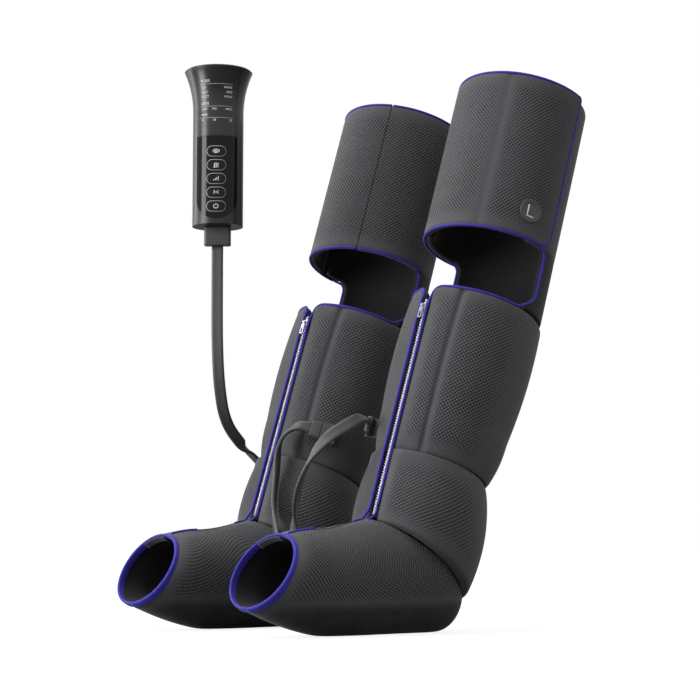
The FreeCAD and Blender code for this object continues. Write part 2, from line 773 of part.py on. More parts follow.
# ------------------------------------------------------------------ pump
def flare_radius(z, inset=0.0):
    """Outer radius of the pump's body at a height."""
    rise = shell_top_z - flare_start_z
    reach = flare_r - body_r
    bend = (reach * reach + rise * rise) / (2 * reach)
    if z <= flare_start_z:
        return body_r - inset
    return body_r + bend - math.sqrt(bend * bend - (z - flare_start_z) ** 2) - inset


def pump_form(inset, z_low, z_top):
    """The pump's round body with its flared top, drawn in by an inset."""
    middle_z = 0.5 * (flare_start_z + z_top)
    outline = [(0.0, z_low), (body_r - inset, z_low), (body_r - inset, flare_start_z),
               (flare_radius(middle_z, inset), middle_z, flare_radius(z_top, inset), z_top), (0.0, z_top)]
    return spun(outline)


def pump_shell():
    """Both housings in one, before they are parted."""
    outer = pump_form(0.0, 0.0, shell_top_z)
    inner = pump_form(shell_wall, floor_thick, shell_top_z)
    shell = outer.cut(inner)
    room = pump_nose_gap
    socket = box(-pump_nose_half_w - room, pump_nose_half_w + room, -pump_nose_half_d - room,
                 pump_nose_half_d + room, -1, floor_thick + 1)
    jack_hole = Part.makeCylinder(jack_bore_r + jack_wall, body_r, V(0, body_r / 2, jack_z), V(0, 1, 0))
    return shell.cut([socket, jack_hole])


def bezel_outline(grow, y0, y1):
    """The long U-shaped panel seen from the front, as a block along Y."""
    half = bezel_half_w + grow
    low = bezel_low_z - grow
    top = bezel_top_z + grow
    corner = V(half, y0, low + half)
    edges = [Part.LineSegment(V(-half, y0, top), V(-half, y0, low + half)).toShape(),
             Part.Arc(V(-half, y0, low + half), V(0, y0, low), corner).toShape(),
             Part.LineSegment(corner, V(half, y0, top)).toShape(),
             Part.LineSegment(V(half, y0, top), V(-half, y0, top)).toShape()]
    return Part.Face(Part.Wire(edges)).extrude(V(0, y1 - y0, 0))


def key_outline(index, grow, y0, y1):
    """One pill-shaped key seen from the front, as a block along Y."""
    z = key_low_z + index * key_pitch
    half_h = key_half_h + grow
    straight = key_half_w - key_half_h
    middle = box(-straight, straight, y0, y1, z - half_h, z + half_h)
    ends = [Part.makeCylinder(half_h, y1 - y0, V(side * straight, y0, z), V(0, 1, 0)) for side in (1, -1)]
    return middle.fuse(ends).removeSplitter()


def front_housing():
    """The front shell with the pocket of the bezel and the openings of the keys."""
    half = pump_shell().common(box(-beyond, beyond, -beyond, 0, -beyond, beyond))
    pocket = bezel_outline(bezel_gap, -60, -panel_back_y).cut(pump_form(bezel_depth, -5, shell_top_z))
    label_pocket = sector(body_r / 2, flare_r + 5, -label_half_angle, label_half_angle,
                          label_low_z, label_top_z).cut(pump_form(label_depth, -5, shell_top_z))
    half = half.cut([pocket, label_pocket])
    return half.cut([key_outline(index, key_gap, -60, 0) for index in range(key_count)])


def rear_housing():
    """The rear shell with the inlet's hole and the screws' holes."""
    half = pump_shell().common(box(-beyond, beyond, housing_gap, beyond, -beyond, beyond))
    return half.cut(screws(screw_room))


def screws(room):
    """Two screws at the bottom and two near the top that hold the housings together."""
    pieces = []
    for z in (screw_inset_z, flare_start_z - screw_inset_z):
        for side in (1, -1):
            depth = math.sqrt(body_r ** 2 - screw_half_x ** 2)
            head_y = depth - screw_sink - screw_head_h
            shank = Part.makeCylinder(screw_r + room, head_y + screw_head_h / 2 - screw_tip_y,
                                      V(side * screw_half_x, screw_tip_y, z), V(0, 1, 0))
            head = Part.makeCylinder(screw_head_r + room, screw_head_h + room,
                                     V(side * screw_half_x, head_y - room, z), V(0, 1, 0))
            pieces.append(shank.fuse(head).removeSplitter())
    return Part.makeCompound(pieces)


def label_panel():
    """The thin printed panel on the flared part."""
    gap = math.degrees(bezel_gap / body_r)
    skin = pump_form(panel_sink, 0, shell_top_z).cut(pump_form(label_depth, -1, shell_top_z))
    wedge = sector(body_r / 2, flare_r + 5, -label_half_angle + gap, label_half_angle - gap,
                   label_low_z + bezel_gap, label_top_z - bezel_gap)
    return skin.common(wedge)


def button_bezel():
    """The gloss panel round the keys."""
    skin = pump_form(panel_sink, -1, shell_top_z).cut(pump_form(bezel_depth, -2, shell_top_z))
    panel = skin.common(bezel_outline(0.0, -60, -panel_back_y - bezel_gap))
    return panel.cut([key_outline(index, key_gap, -60, 0) for index in range(key_count)])


def key(index):
    """One key: a curved pill with a stem that reaches to its switch."""
    cap = key_outline(index, 0.0, -60, 0).common(
        Part.makeCylinder(body_r + key_proud, 2 * beyond, V(0, 0, -beyond)).cut(
            Part.makeCylinder(body_r - shell_wall, 2 * beyond, V(0, 0, -beyond))))
    z = key_low_z + index * key_pitch
    front = -math.sqrt((body_r - shell_wall) ** 2 - key_stem_half ** 2) - 0.5
    stem = box(-key_stem_half, key_stem_half, front, pad_plane_y - mat_thick - key_travel - 0.3,
               z - key_stem_half, z + key_stem_half)
    return cap.fuse(stem).removeSplitter()


def switch_mat():
    """The rubber mat over the switches, on the circuit board."""
    return box(-mat_half_w, mat_half_w, pad_plane_y - mat_thick, pad_plane_y, key_low_z - mat_ends,
               key_low_z + (key_count - 1) * key_pitch + mat_ends)


def circuit_board():
    """The board that carries the switches."""
    return box(-board_half_w, board_half_w, pad_plane_y, pad_plane_y + board_thick, board_low_z, board_top_z)


def carrier():
    """The inner frame that holds the board, the pump and the valves between the housings."""
    reach = math.sqrt((body_r - shell_wall - fabric_gap) ** 2 - carrier_y ** 2)
    back = carrier_y + carrier_thick
    plate = box(-reach, reach, carrier_y, back, carrier_low_z, carrier_top_z)
    posts = [box(x0, x0 + post_w, pad_plane_y + board_thick, carrier_y, z0, z0 + post_h)
             for x0 in (-post_x - post_w, post_x)
             for z0 in (board_low_z + 2 * post_h, board_top_z - 2 * post_h)]
    shelves = [box(-shelf_half_w, shelf_half_w, back, shelf_reach, z, z + shelf_thick)
               for z in (shelf_low_z(), motor_z - shelf_thick)]
    return plate.fuse(posts + shelves).removeSplitter()


def shelf_low_z():
    """Height of the shelf that the manifold stands under."""
    return floor_thick + pump_nose_h + manifold_h + shelf_room


def pump_motor():
    """The electric motor of the air pump."""
    can = Part.makeCylinder(motor_r, motor_len, V(0, motor_y, motor_z))
    shaft = Part.makeCylinder(shaft_r, shaft_len, V(0, motor_y, motor_z + motor_len))
    return can.fuse(shaft).removeSplitter()


def pump_head():
    """The diaphragm pump's head on top of the motor."""
    low = motor_z + motor_len
    head = box(-pump_head_half, pump_head_half, motor_y - pump_head_half, motor_y + pump_head_half,
               low, low + pump_head_h)
    bore = Part.makeCylinder(shaft_r + shaft_gap, shaft_len + 2 * shaft_gap, V(0, motor_y, low))
    spout = Part.makeCylinder(spout_r, spout_len, V(spout_x, motor_y, low + pump_head_h))
    return head.cut(bore).fuse(spout).removeSplitter()


def manifold():
    """The block that shares the air out to the hose, over the plug's nose."""
    low = floor_thick
    top = low + pump_nose_h + manifold_h
    block = box(-manifold_half_w - manifold_wall, manifold_half_w + manifold_wall, -manifold_half_d,
                manifold_half_d, low, top)
    room = pump_nose_gap
    socket = box(-pump_nose_half_w - room, pump_nose_half_w + room, -pump_nose_half_d - room,
                 pump_nose_half_d + room, low - 1, pump_nose_h + room)
    return block.cut(socket)


def valves():
    """Three solenoid valves on the back of the carrier."""
    low = shelf_low_z() + shelf_thick
    return Part.makeCompound([Part.makeCylinder(valve_r, valve_h, V(x, motor_y, low))
                              for x in (-valve_pitch, 0, valve_pitch)])


def power_inlet():
    """The round low-voltage inlet in the rear shell."""
    depth = body_r - shell_wall / 4
    front = depth - jack_collar_len
    block = box(-jack_half, jack_half, front - jack_len, front + jack_gap,
                jack_z - jack_half, jack_z + jack_half)
    collar = Part.makeCylinder(jack_bore_r + jack_wall - jack_gap, jack_collar_len, V(0, front, jack_z),
                               V(0, 1, 0))
    bore = Part.makeCylinder(jack_bore_r, jack_len, V(0, depth + jack_wall - jack_len, jack_z), V(0, 1, 0))
    pin = Part.makeCylinder(jack_pin_r, jack_len - jack_collar_len, V(0, depth - jack_len, jack_z), V(0, 1, 0))
    return block.fuse(collar).cut(bore).fuse(pin).removeSplitter()


def top_cap():
    """The lid on the flared end: a shallow dome with a lip inside the housings."""
    low = shell_top_z + cap_gap
    lid = spun([(0.0, low), (cap_r, low), (cap_r, low + cap_edge),
                (cap_r * 0.55, low + cap_edge + cap_dome * 0.75, cap_flat_r, low + cap_edge + cap_dome),
                (0.0, low + cap_edge + cap_dome)])
    lip_r = flare_radius(shell_top_z - cap_thick) - shell_wall - fabric_gap
    lip = Part.makeCylinder(lip_r, cap_thick + cap_gap, V(0, 0, low - cap_gap - cap_thick))
    lip = lip.cut(Part.makeCylinder(lip_r - 2.0, cap_thick + cap_gap, V(0, 0, low - cap_gap - cap_thick)))
    return lid.fuse(lip).removeSplitter()


def pump_plug():
    """The plug under the pump, which the hose leaves downwards."""
    grip = box(-pump_plug_half_w, pump_plug_half_w, -pump_plug_half_d, pump_plug_half_d,
               -fabric_gap - pump_plug_h, -fabric_gap)
    nose = box(-pump_nose_half_w, pump_nose_half_w, -pump_nose_half_d, pump_nose_half_d,
               -fabric_gap, pump_nose_h)
    return grip.fuse(nose).removeSplitter()


# ------------------------------------------------------------------ hoses
def route_tube(name, points, diameter):
    """A tube of straight runs joined by tangent arcs, with its shortest bend and its length told."""
    corners = [V(*p) for p in points]
    edges = []
    radii = []
    start = corners[0]
    for before, corner, after in zip(corners, corners[1:], corners[2:]):
        to_before = (before - corner)
        to_after = (after - corner)
        shorter = min(to_before.Length, to_after.Length)
        to_before.normalize()
        to_after.normalize()
        turn = math.pi - to_before.getAngle(to_after)
        trim = 0.45 * shorter
        radius = trim / math.tan(turn / 2)
        radii.append(radius)
        first = corner + to_before * trim
        last = corner + to_after * trim
        inward = to_before + to_after
        inward.normalize()
        middle = corner + inward * (radius / math.cos(turn / 2) - radius)
        edges.append(Part.LineSegment(start, first).toShape())
        edges.append(Part.Arc(first, middle, last).toShape())
        start = last
    edges.append(Part.LineSegment(start, corners[-1]).toShape())
    path = Part.Wire(edges)
    ring = Part.Wire([Part.Circle(corners[0], corners[1] - corners[0], diameter / 2).toShape()])
    tube = path.makePipeShell([ring], True, False)
    section = math.pi * diameter ** 2 / 4
    print(f"{name}: length {path.Length:.0f}, radii {min(radii):.0f} to {max(radii):.0f}, "
          f"volume share {tube.Volume / (section * path.Length):.4f}")
    return tube


def splitter():
    """The flat junction on the floor between the feet, where one hose becomes two."""
    y = splitter_y + middle_shift
    block = box(-splitter_half_w, splitter_half_w, y - splitter_half_l, y + splitter_half_l,
                floor_gap, floor_gap + splitter_h)
    upright = [edge for edge in block.Edges if abs(edge.tangentAt(edge.FirstParameter).z) > 0.9]
    return block.makeFillet(splitter_round, upright)


def placed(points):
    """Shifts hand-set points with the sleeves."""
    return [(x, y + middle_shift, z) for x, y, z in points]


def hoses():
    """The trunk hose and the two branches."""
    front = splitter_y - splitter_half_l + middle_shift
    back = splitter_y + splitter_half_l + middle_shift
    height = floor_gap + splitter_h / 2
    pump_end = (pump_x, pump_y + middle_shift, pump_z - fabric_gap - pump_plug_h)
    left_exit, left_ahead = plug_exit(left_lead)
    right_exit, right_ahead = plug_exit(right_lead)
    routes = {"trunk_hose": [pump_end] + placed(trunk_points) + [(0, back, height)],
              "branch_hose_left": [tuple(left_exit), tuple(left_ahead)] + placed(branch_left_points)
              + [(branch_left_points[-1][0], front, height)],
              "branch_hose_right": [(-right_exit.x, right_exit.y, right_exit.z),
                                    (-right_ahead.x, right_ahead.y, right_ahead.z)] + placed(branch_right_points)
              + [(branch_right_points[-1][0], front, height)]}
    for name, route in routes.items():
        save(name, route_tube(name, route, hose_w))
        print(name, "route", [tuple(round(c, 1) for c in p) for p in route])


# ------------------------------------------------------------------ the whole part
def sleeves():
    """Both sleeves, piece by piece."""
    save_pair("foot_shell", foot_shell())
    save_pair("air_bladders", Part.makeCompound([to_foot(foot_bladder(0.0)), to_calf(calf_bladder(0.0))]))
    save_pair("ankle_wrap", ankle_wrap())
    save_pair("calf_wrap", calf_wrap())
    save_pair("knee_panel", knee_panel())
    save_pair("lower_piping", Part.makeCompound([to_foot(toe_piping()), to_calf(calf_rim_piping()),
                                                 to_thigh(knee_edge_piping())]))
    save("zip_chains", both(to_zip(zip_chain())))
    save("hose_ports", both(to_calf(hose_port())))
    save_pair("hose_plug", to_calf(hose_plug()))
    save_pair("zip_slider", to_zip(zip_slider()))
    save_pair("zip_pull", to_zip(zip_pull()))
    pieces = {"thigh_cuff": thigh_cuff(), "heat_pad": heat_pad(0.0), "hook_patch": hook_patch(),
              "thigh_piping": thigh_piping(), "thigh_flap": thigh_flap(),
              "thigh_bladder": thigh_bladder(0.0), "flap_piping": flap_piping(), "badge": badge(0.0)}
    for name, shape in pieces.items():
        save_pair(name, to_thigh(shape))


def pump():
    """The hand-held pump, piece by piece."""
    pieces = {"front_housing": front_housing(), "rear_housing": rear_housing(), "top_cap": top_cap(),
              "label_panel": label_panel(), "button_bezel": button_bezel(), "switch_mat": switch_mat(),
              "circuit_board": circuit_board(), "carrier": carrier(), "pump_motor": pump_motor(),
              "pump_head": pump_head(), "manifold": manifold(), "valves": valves(),
              "power_inlet": power_inlet(), "housing_screws": screws(0.0), "pump_plug": pump_plug()}
    for index in range(key_count):
        pieces["key_" + str(index + 1)] = key(index)
    for name, shape in pieces.items():
        save(name, to_pump(shape))


sleeves()
pump()
save("splitter", splitter())
hoses()
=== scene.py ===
# %% [markdown]
# # Compression leg sleeves with a hand-held pump
# The object is a pair of padded sleeves for the whole leg, and a pump that fills the air chambers in them
# through flat hoses. A construction model gives every piece its place and its joints. This file puts the
# cloth, the trim and the finishes over it. Lengths are written in millimetres, in the same leaned frames
# that the construction model uses, and become metres only where a mesh is finished.

# %% Start
import bpy
import bmesh
import math
from mathutils import Matrix, Vector
from mathutils.bvhtree import BVHTree


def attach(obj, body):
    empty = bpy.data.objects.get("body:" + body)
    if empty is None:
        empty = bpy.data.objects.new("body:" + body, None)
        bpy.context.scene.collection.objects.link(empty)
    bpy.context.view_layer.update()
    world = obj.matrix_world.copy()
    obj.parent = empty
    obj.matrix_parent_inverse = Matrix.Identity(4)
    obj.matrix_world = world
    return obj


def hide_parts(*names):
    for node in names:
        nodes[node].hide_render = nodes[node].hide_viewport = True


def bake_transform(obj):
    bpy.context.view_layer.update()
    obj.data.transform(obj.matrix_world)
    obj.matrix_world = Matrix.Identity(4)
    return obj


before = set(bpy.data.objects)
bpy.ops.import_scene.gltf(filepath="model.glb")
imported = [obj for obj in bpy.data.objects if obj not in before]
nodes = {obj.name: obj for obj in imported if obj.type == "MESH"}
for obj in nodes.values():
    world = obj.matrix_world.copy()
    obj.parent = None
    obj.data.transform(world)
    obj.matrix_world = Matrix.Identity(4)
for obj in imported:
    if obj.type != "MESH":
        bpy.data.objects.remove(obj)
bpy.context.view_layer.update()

# %% [markdown]
# ## Frames and sizes
# A leg that rests in a sleeve isn't straight: the foot stands level, the calf leans back, and the thigh
# leans a little less. It would be possible to model everything in one frame and to work the lean into
# every number. A frame for each part keeps the numbers plain: in each one Z runs up the leg, and the
# angle round the leg starts at the front.

# %% Sizes
BOOT_X = 116.5
SHIFT = -11.2
CREASE = (32.0, 192.5)
CALF_LEAN = 21.3
THIGH_LEAN = 17.5
CALF_LEN = 215.0
CUFF_LOW = 86.5
CUFF_TOP = 298.5
CUFF_R = 88.0
PANEL_R = 82.0
RIM = (CREASE[0] + CALF_LEN * math.sin(math.radians(CALF_LEAN)),
       CREASE[1] + CALF_LEN * math.cos(math.radians(CALF_LEAN)))


def leaned(degrees, y, z):
    """Matrix of a frame on the left sleeve that leans back by some degrees."""
    return (Matrix.Translation((BOOT_X, SHIFT + y, z))
            @ Matrix.Rotation(math.radians(-degrees), 4, "X"))


FOOT = leaned(0.0, 0.0, 0.0)
ANKLE = leaned(12.0, CREASE[0] - 7.0, CREASE[1])
CALF = leaned(CALF_LEAN, *CREASE)
THIGH = leaned(THIGH_LEAN, *RIM)
ZIP = leaned(18.2, -62.0, 141.0)
PUMP = Matrix.Translation((-116.0, SHIFT - 124.5, 510.0)) @ Matrix.Rotation(math.radians(50.0), 4, "Z")


def ring_point(radius, angle, z):
    """A point round the leg; the angle in degrees starts at the front."""
    a = math.radians(angle)
    return Vector((radius * math.sin(a), -radius * math.cos(a), z))


def arc_radius(low, middle, top, z):
    """Radius at a height on the curve through three (radius, height) points."""
    (r0, z0), (r1, z1), (r2, z2) = low, middle, top
    return (r0 * (z - z1) * (z - z2) / ((z0 - z1) * (z0 - z2))
            + r1 * (z - z0) * (z - z2) / ((z1 - z0) * (z1 - z2))
            + r2 * (z - z0) * (z - z1) / ((z2 - z0) * (z2 - z1)))


def eased(share):
    """A share from 0 to 1 that starts and ends softly."""
    share = max(0.0, min(1.0, share))
    return share * share * (3 - 2 * share)


print("calf rim at", [round(c) for c in CALF @ Vector((0, 0, CALF_LEN))])

# %% [markdown]
# ## Tools that every piece uses
# Each piece starts as a bmesh, which is Blender's mesh in the making, in local millimetres. One function
# carries it into the object's frame, turns its normals outwards and makes it an object. The right sleeve is
# the mirror image of the left, so it is made by scaling X by minus one, after which the normals are
# turned outwards again. Modifiers would mirror too, but each sleeve rides on its own bodies, and so
# each needs its own object.

# %% Tools
def new_piece(name, bm, place=None, smooth=True):
    """An object of a bmesh in local millimetres, at its place. The bmesh is freed."""
    bmesh.ops.transform(bm, matrix=Matrix.Scale(0.001, 4) @ (place or Matrix.Identity(4)), verts=bm.verts)
    bmesh.ops.recalc_face_normals(bm, faces=bm.faces)
    mesh = bpy.data.meshes.new(name)
    bm.to_mesh(mesh)
    bm.free()
    if smooth:
        mesh.shade_smooth()
    piece = bpy.data.objects.new(name, mesh)
    bpy.context.scene.collection.objects.link(piece)
    return piece


def mirror_piece(piece, name):
    """The same piece of the right sleeve."""
    mesh = piece.data.copy()
    bm = bmesh.new()
    bm.from_mesh(mesh)
    bmesh.ops.scale(bm, vec=(-1.0, 1.0, 1.0), verts=bm.verts)
    bmesh.ops.recalc_face_normals(bm, faces=bm.faces)
    bm.to_mesh(mesh)
    bm.free()
    other = bpy.data.objects.new(name, mesh)
    bpy.context.scene.collection.objects.link(other)
    return other


def finish_piece(piece, material, replaced=()):
    """Gives a piece its material, and hides the CAD nodes that it stands for."""
    if material is not None:
        piece.data.materials.clear()
        piece.data.materials.append(material)
    if replaced:
        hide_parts(*replaced)


def other_side(piece, name):
    """Puts a piece on the right sleeve instead of the left."""
    moved = mirror_piece(piece, name)
    bpy.data.objects.remove(piece)
    return moved


def dress(piece, body, material, replaced=()):
    """Finishes a piece that rides on one body."""
    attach(piece, body)
    finish_piece(piece, material, replaced)
    return piece


def dress_pair(piece, body, material, replaced=(), bend=None):
    """Finishes a left piece and makes the right one. Bodies and nodes are named without their side. With
    bend, a (start, end) pair in the thigh's frame, the piece's transform is baked into its mesh and it is
    attached to no body; the two ends are worked out but not used."""
    stem = piece.name[:-len("_left")]
    pair = {"left": piece, "right": mirror_piece(piece, stem + "_right")}
    for side, one in pair.items():
        if bend:
            ends = [(THIGH @ Vector(spot)) * 0.001 for spot in bend]
            if side == "right":
                ends = [Vector((-end.x, end.y, end.z)) for end in ends]
            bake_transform(one)
        else:
            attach(one, body if body == "sleeves" else body + "_" + side)
        finish_piece(one, material, [node + "_" + side for node in replaced])
    return pair


def bake(piece):
    """Turns a piece's modifiers into its mesh."""
    made = bpy.data.meshes.new_from_object(piece.evaluated_get(bpy.context.evaluated_depsgraph_get()))
    piece.modifiers.clear()
    old = piece.data
    piece.data = made
    bpy.data.meshes.remove(old)


def subdivide(piece):
    """One level of subdivision surface, baked."""
    change = piece.modifiers.new("smooth", "SUBSURF")
    change.levels = 1
    change.render_levels = 1
    bake(piece)


def join(name, pieces):
    """Joins mesh pieces into one."""
    bm = bmesh.new()
    for piece in pieces:
        bm.from_mesh(piece.data)
        bpy.data.objects.remove(piece)
    bmesh.ops.scale(bm, vec=(1000.0, 1000.0, 1000.0), verts=bm.verts)
    return new_piece(name, bm)


# %% [markdown]
# ## Blocks, turned pieces and round trim
# Three plain makers cover most of the hard parts. A block is a cube that is scaled and tapered, has its
# upright edges bevelled wide, and then its end edges bevelled fine, as a moulded part has. A turned
# piece spins an outline round Z. A trim is a curve with a round bevel: cord sewn into a sleeve of
# cloth is round all along, so a curve describes it with the fewest points, and it becomes mesh at once.

# %% Makers
def block(name, place, size, corner, edge, taper=1.0):
    """A moulded block, centred, with rounded corners; its upper end is narrowed by the taper."""
    bm = bmesh.new()
    bmesh.ops.create_cube(bm, size=1.0)
    bmesh.ops.scale(bm, vec=size, verts=bm.verts)
    top = [vert for vert in bm.verts if vert.co.z > 0]
    bmesh.ops.scale(bm, vec=(taper, taper, 1.0), verts=top)
    upright = [e for e in bm.edges if abs(e.verts[0].co.z - e.verts[1].co.z) > size[2] / 2]
    bmesh.ops.bevel(bm, geom=upright, offset=corner, segments=6, affect="EDGES", profile=0.5, material=-1)
    ends = [e for e in bm.edges if abs(e.verts[0].co.z - e.verts[1].co.z) < 1e-4]
    bmesh.ops.bevel(bm, geom=ends, offset=edge, segments=3, affect="EDGES", profile=0.5, material=-1)
    return new_piece(name, bm, place)


def turned(name, outline, place, steps=64):
    """A turned piece: (radius, height) points, closed on the axis at both ends, spun about Z."""
    bm = bmesh.new()
    line = [bm.verts.new((radius, 0.0, z)) for radius, z in outline]
    edges = [bm.edges.new(pair) for pair in zip(line, line[1:])]
    bmesh.ops.spin(bm, geom=line + edges, cent=(0, 0, 0), axis=(0, 0, 1), angle=2 * math.pi, steps=steps,
                   use_merge=True)
    bmesh.ops.remove_doubles(bm, verts=bm.verts, dist=0.001)
    return new_piece(name, bm, place)


def curve_mesh(curve):
    """A bmesh of a curve, with its doubled points welded."""
    holder = bpy.data.objects.new("holder", curve)
    bpy.context.scene.collection.objects.link(holder)
    mesh = bpy.data.meshes.new_from_object(holder.evaluated_get(bpy.context.evaluated_depsgraph_get()))
    bm = bmesh.new()
    bm.from_mesh(mesh)
    bpy.data.objects.remove(holder)
    bpy.data.curves.remove(curve)
    bpy.data.meshes.remove(mesh)
    bmesh.ops.remove_doubles(bm, verts=bm.verts, dist=0.0005)
    return bm


def line_curve(name, lines, radius, closed=False, fine=3):
    """A curve object's data with a round bevel along each line of points."""
    curve = bpy.data.curves.new(name, "CURVE")
    curve.dimensions = "3D"
    for line in lines:
        spline = curve.splines.new("POLY")
        spline.points.add(len(line) - 1)
        for point, spot in zip(spline.points, line):
            point.co = (*spot, 1.0)
        spline.use_cyclic_u = closed
    curve.bevel_depth = radius
    curve.bevel_resolution = fine
    curve.use_fill_caps = not closed
    return curve


def trim(name, line, radius, place, closed=False):
    """A round trim along a line of points."""
    return new_piece(name, curve_mesh(line_curve(name, [line], radius, closed)), place)


def resample(points, step):
    """Points at even steps along a smooth path through given points."""
    out = []
    n = len(points)
    for i in range(n - 1):
        p0, p1, p2, p3 = points[max(i - 1, 0)], points[i], points[i + 1], points[min(i + 2, n - 1)]
        count = max(1, round((p2 - p1).length / step))
        for k in range(count):
            t = k / count
            out.append(0.5 * ((2 * p1) + (p2 - p0) * t + (2 * p0 - 5 * p1 + 4 * p2 - p3) * t * t
                              + (3 * p1 - p0 - 3 * p2 + p3) * t ** 3))
    out.append(points[-1].copy())
    return out


# %% [markdown]
# ## Materials: the bricks
# Every finish here is procedural: it is worked out from a position and needs no picture. These small
# functions save writing the same nodes again. Values that are the same all over go on the shader's own
# sockets, and only what varies gets nodes.

# %% Material tools
def base_material(name, colour, roughness, **settings):
    """A material with a Principled shader; settings are written on the shader's own sockets."""
    material = bpy.data.materials.new(name)
    material.use_nodes = True
    shader = material.node_tree.nodes["Principled BSDF"]
    shader.inputs["Base Color"].default_value = (*colour, 1.0)
    shader.inputs["Roughness"].default_value = roughness
    for key, value in settings.items():
        shader.inputs[key.replace("_", " ")].default_value = value
    return material, material.node_tree, shader


def colour_mix(tree, factor, dark, light):
    """A colour between two, by a factor socket."""
    mix = tree.nodes.new("ShaderNodeMix")
    mix.data_type = "RGBA"
    tree.links.new(factor, mix.inputs["Factor"])
    mix.inputs["A"].default_value = (*dark, 1.0)
    mix.inputs["B"].default_value = (*light, 1.0)
    return mix.outputs["Result"]


def bump(tree, height, strength, distance, shader):
    """Bumps a shader's surface by a height socket."""
    made = tree.nodes.new("ShaderNodeBump")
    made.inputs["Strength"].default_value = strength
    made.inputs["Distance"].default_value = distance
    tree.links.new(height, made.inputs["Height"])
    tree.links.new(made.outputs["Normal"], shader.inputs["Normal"])


def maths(tree, operation, first, second=None):
    """A Math node on sockets or numbers."""
    made = tree.nodes.new("ShaderNodeMath")
    made.operation = operation
    for index, value in enumerate((first, second)):
        if isinstance(value, (int, float)):
            made.inputs[index].default_value = value
        elif value is not None:
            tree.links.new(value, made.inputs[index])
    return made.outputs[0]


def noise_socket(tree, scale, detail=2.0):
    """A noise texture's factor on object coordinates."""
    made = tree.nodes.new("ShaderNodeTexNoise")
    made.inputs["Scale"].default_value = scale
    made.inputs["Detail"].default_value = detail
    tree.links.new(tree.nodes.new("ShaderNodeTexCoord").outputs["Object"], made.inputs["Vector"])
    return made.outputs["Fac"]


# %% [markdown]
# ## Sandwich mesh cloth
# The sleeves are faced with sandwich mesh: a knitted face with small open holes set on the diagonal,
# over a dark spacer. Real holes would take millions of faces, and a picture would have to be fitted to
# every piece. Two sine waves across the cloth's own map, multiplied, make the lattice: where their product
# is lowest there is a hole. The map runs in millimetres, so the holes keep one size on every piece, and an
# attribute on the points closes them near seams and at the back, where the cloth is smooth. Below zero it
# means the plain, darker cloth of the sole.

# %% Mesh cloth
MESH_PITCH = 4.9


def mesh_cloth(name, dark, light, sheen):
    """Sandwich mesh, between the colour of its holes and that of its knit."""
    material, tree, shader = base_material(name, light, 0.8, Sheen_Weight=sheen, Sheen_Roughness=0.35,
                                           Specular_IOR_Level=0.12)
    cloth = tree.nodes.new("ShaderNodeUVMap")
    cloth.uv_map = "cloth"
    split = tree.nodes.new("ShaderNodeSeparateXYZ")
    tree.links.new(cloth.outputs["UV"], split.inputs[0])
    wobble = maths(tree, "MULTIPLY", noise_socket(tree, 9.0, 1.0), 2.4)
    across = maths(tree, "ADD", maths(tree, "MULTIPLY", split.outputs[0], 2 * math.pi / MESH_PITCH), wobble)
    along = maths(tree, "MULTIPLY", split.outputs[1], 2 * math.pi / MESH_PITCH)
    one = maths(tree, "SINE", across)
    two = maths(tree, "SINE", along)
    # 1 on the knit between the holes, 0 at the middle of a hole.
    lattice = maths(tree, "MULTIPLY", maths(tree, "ADD", maths(tree, "MULTIPLY", one, two), 1.0), 0.5)
    weave = tree.nodes.new("ShaderNodeAttribute")
    weave.attribute_name = "weave"
    patch = noise_socket(tree, 26.0, 2.0)
    share = maths(tree, "MULTIPLY", weave.outputs["Fac"], maths(tree, "ADD", patch, 0.45))
    depth = maths(tree, "MULTIPLY", maths(tree, "SUBTRACT", 1.0, maths(tree, "POWER", lattice, 0.8)),
                  maths(tree, "MAXIMUM", share, 0.0))
    fine = noise_socket(tree, 900.0, 2.0)
    level = maths(tree, "ADD", maths(tree, "MULTIPLY", fine, 0.5), 0.32)
    level = maths(tree, "ADD", level, maths(tree, "MULTIPLY", share, 0.32))
    level = maths(tree, "SUBTRACT", level, maths(tree, "MULTIPLY", depth, 1.0))
    factor = tree.nodes.new("ShaderNodeClamp")
    tree.links.new(level, factor.inputs[0])
    tree.links.new(colour_mix(tree, factor.outputs[0], dark, light), shader.inputs["Base Color"])
    bump(tree, maths(tree, "SUBTRACT", maths(tree, "MULTIPLY", fine, 0.22), depth), 0.9, 0.0012, shader)
    return material


mesh_black = mesh_cloth("mesh_black", (0.002, 0.002, 0.002), (0.125, 0.124, 0.133), 0.14)

# %% [markdown]
# ## Woven cloth, tape and moulded surfaces
# The lining, the panels at the back of the knee and the violet trim are close cloth. A fine noise
# gives the thread and a broad one the slight unevenness of dye and handling. Moulded plastic gets the same
# treatment with a far shallower grain, and its broad noise also moves the gloss a little, because even
# new plastic is never evenly shiny.

# %% Materials
def plain_cloth(name, dark, light, scale=700.0, strength=0.4, sheen=0.12, roughness=0.85):
    """Close woven cloth without holes."""
    material, tree, shader = base_material(name, light, roughness, Sheen_Weight=sheen, Sheen_Roughness=0.4,
                                           Specular_IOR_Level=0.12)
    fine = noise_socket(tree, scale, 3.0)
    broad = noise_socket(tree, 18.0, 2.0)
    level = maths(tree, "MULTIPLY", maths(tree, "ADD", fine, broad), 0.5)
    tree.links.new(colour_mix(tree, level, dark, light), shader.inputs["Base Color"])
    bump(tree, fine, strength, 0.0006, shader)
    return material


def moulded(name, dark, light, roughness, grain=900.0, strength=0.12, **settings):
    """Moulded plastic or rubber with a fine grain and slight wear."""
    material, tree, shader = base_material(name, light, roughness, **settings)
    broad = noise_socket(tree, 30.0, 3.0)
    tree.links.new(colour_mix(tree, broad, dark, light), shader.inputs["Base Color"])
    tree.links.new(maths(tree, "ADD", maths(tree, "MULTIPLY", broad, 0.14), roughness - 0.07),
                   shader.inputs["Roughness"])
    bump(tree, noise_socket(tree, grain, 2.0), strength, 0.0003, shader)
    return material


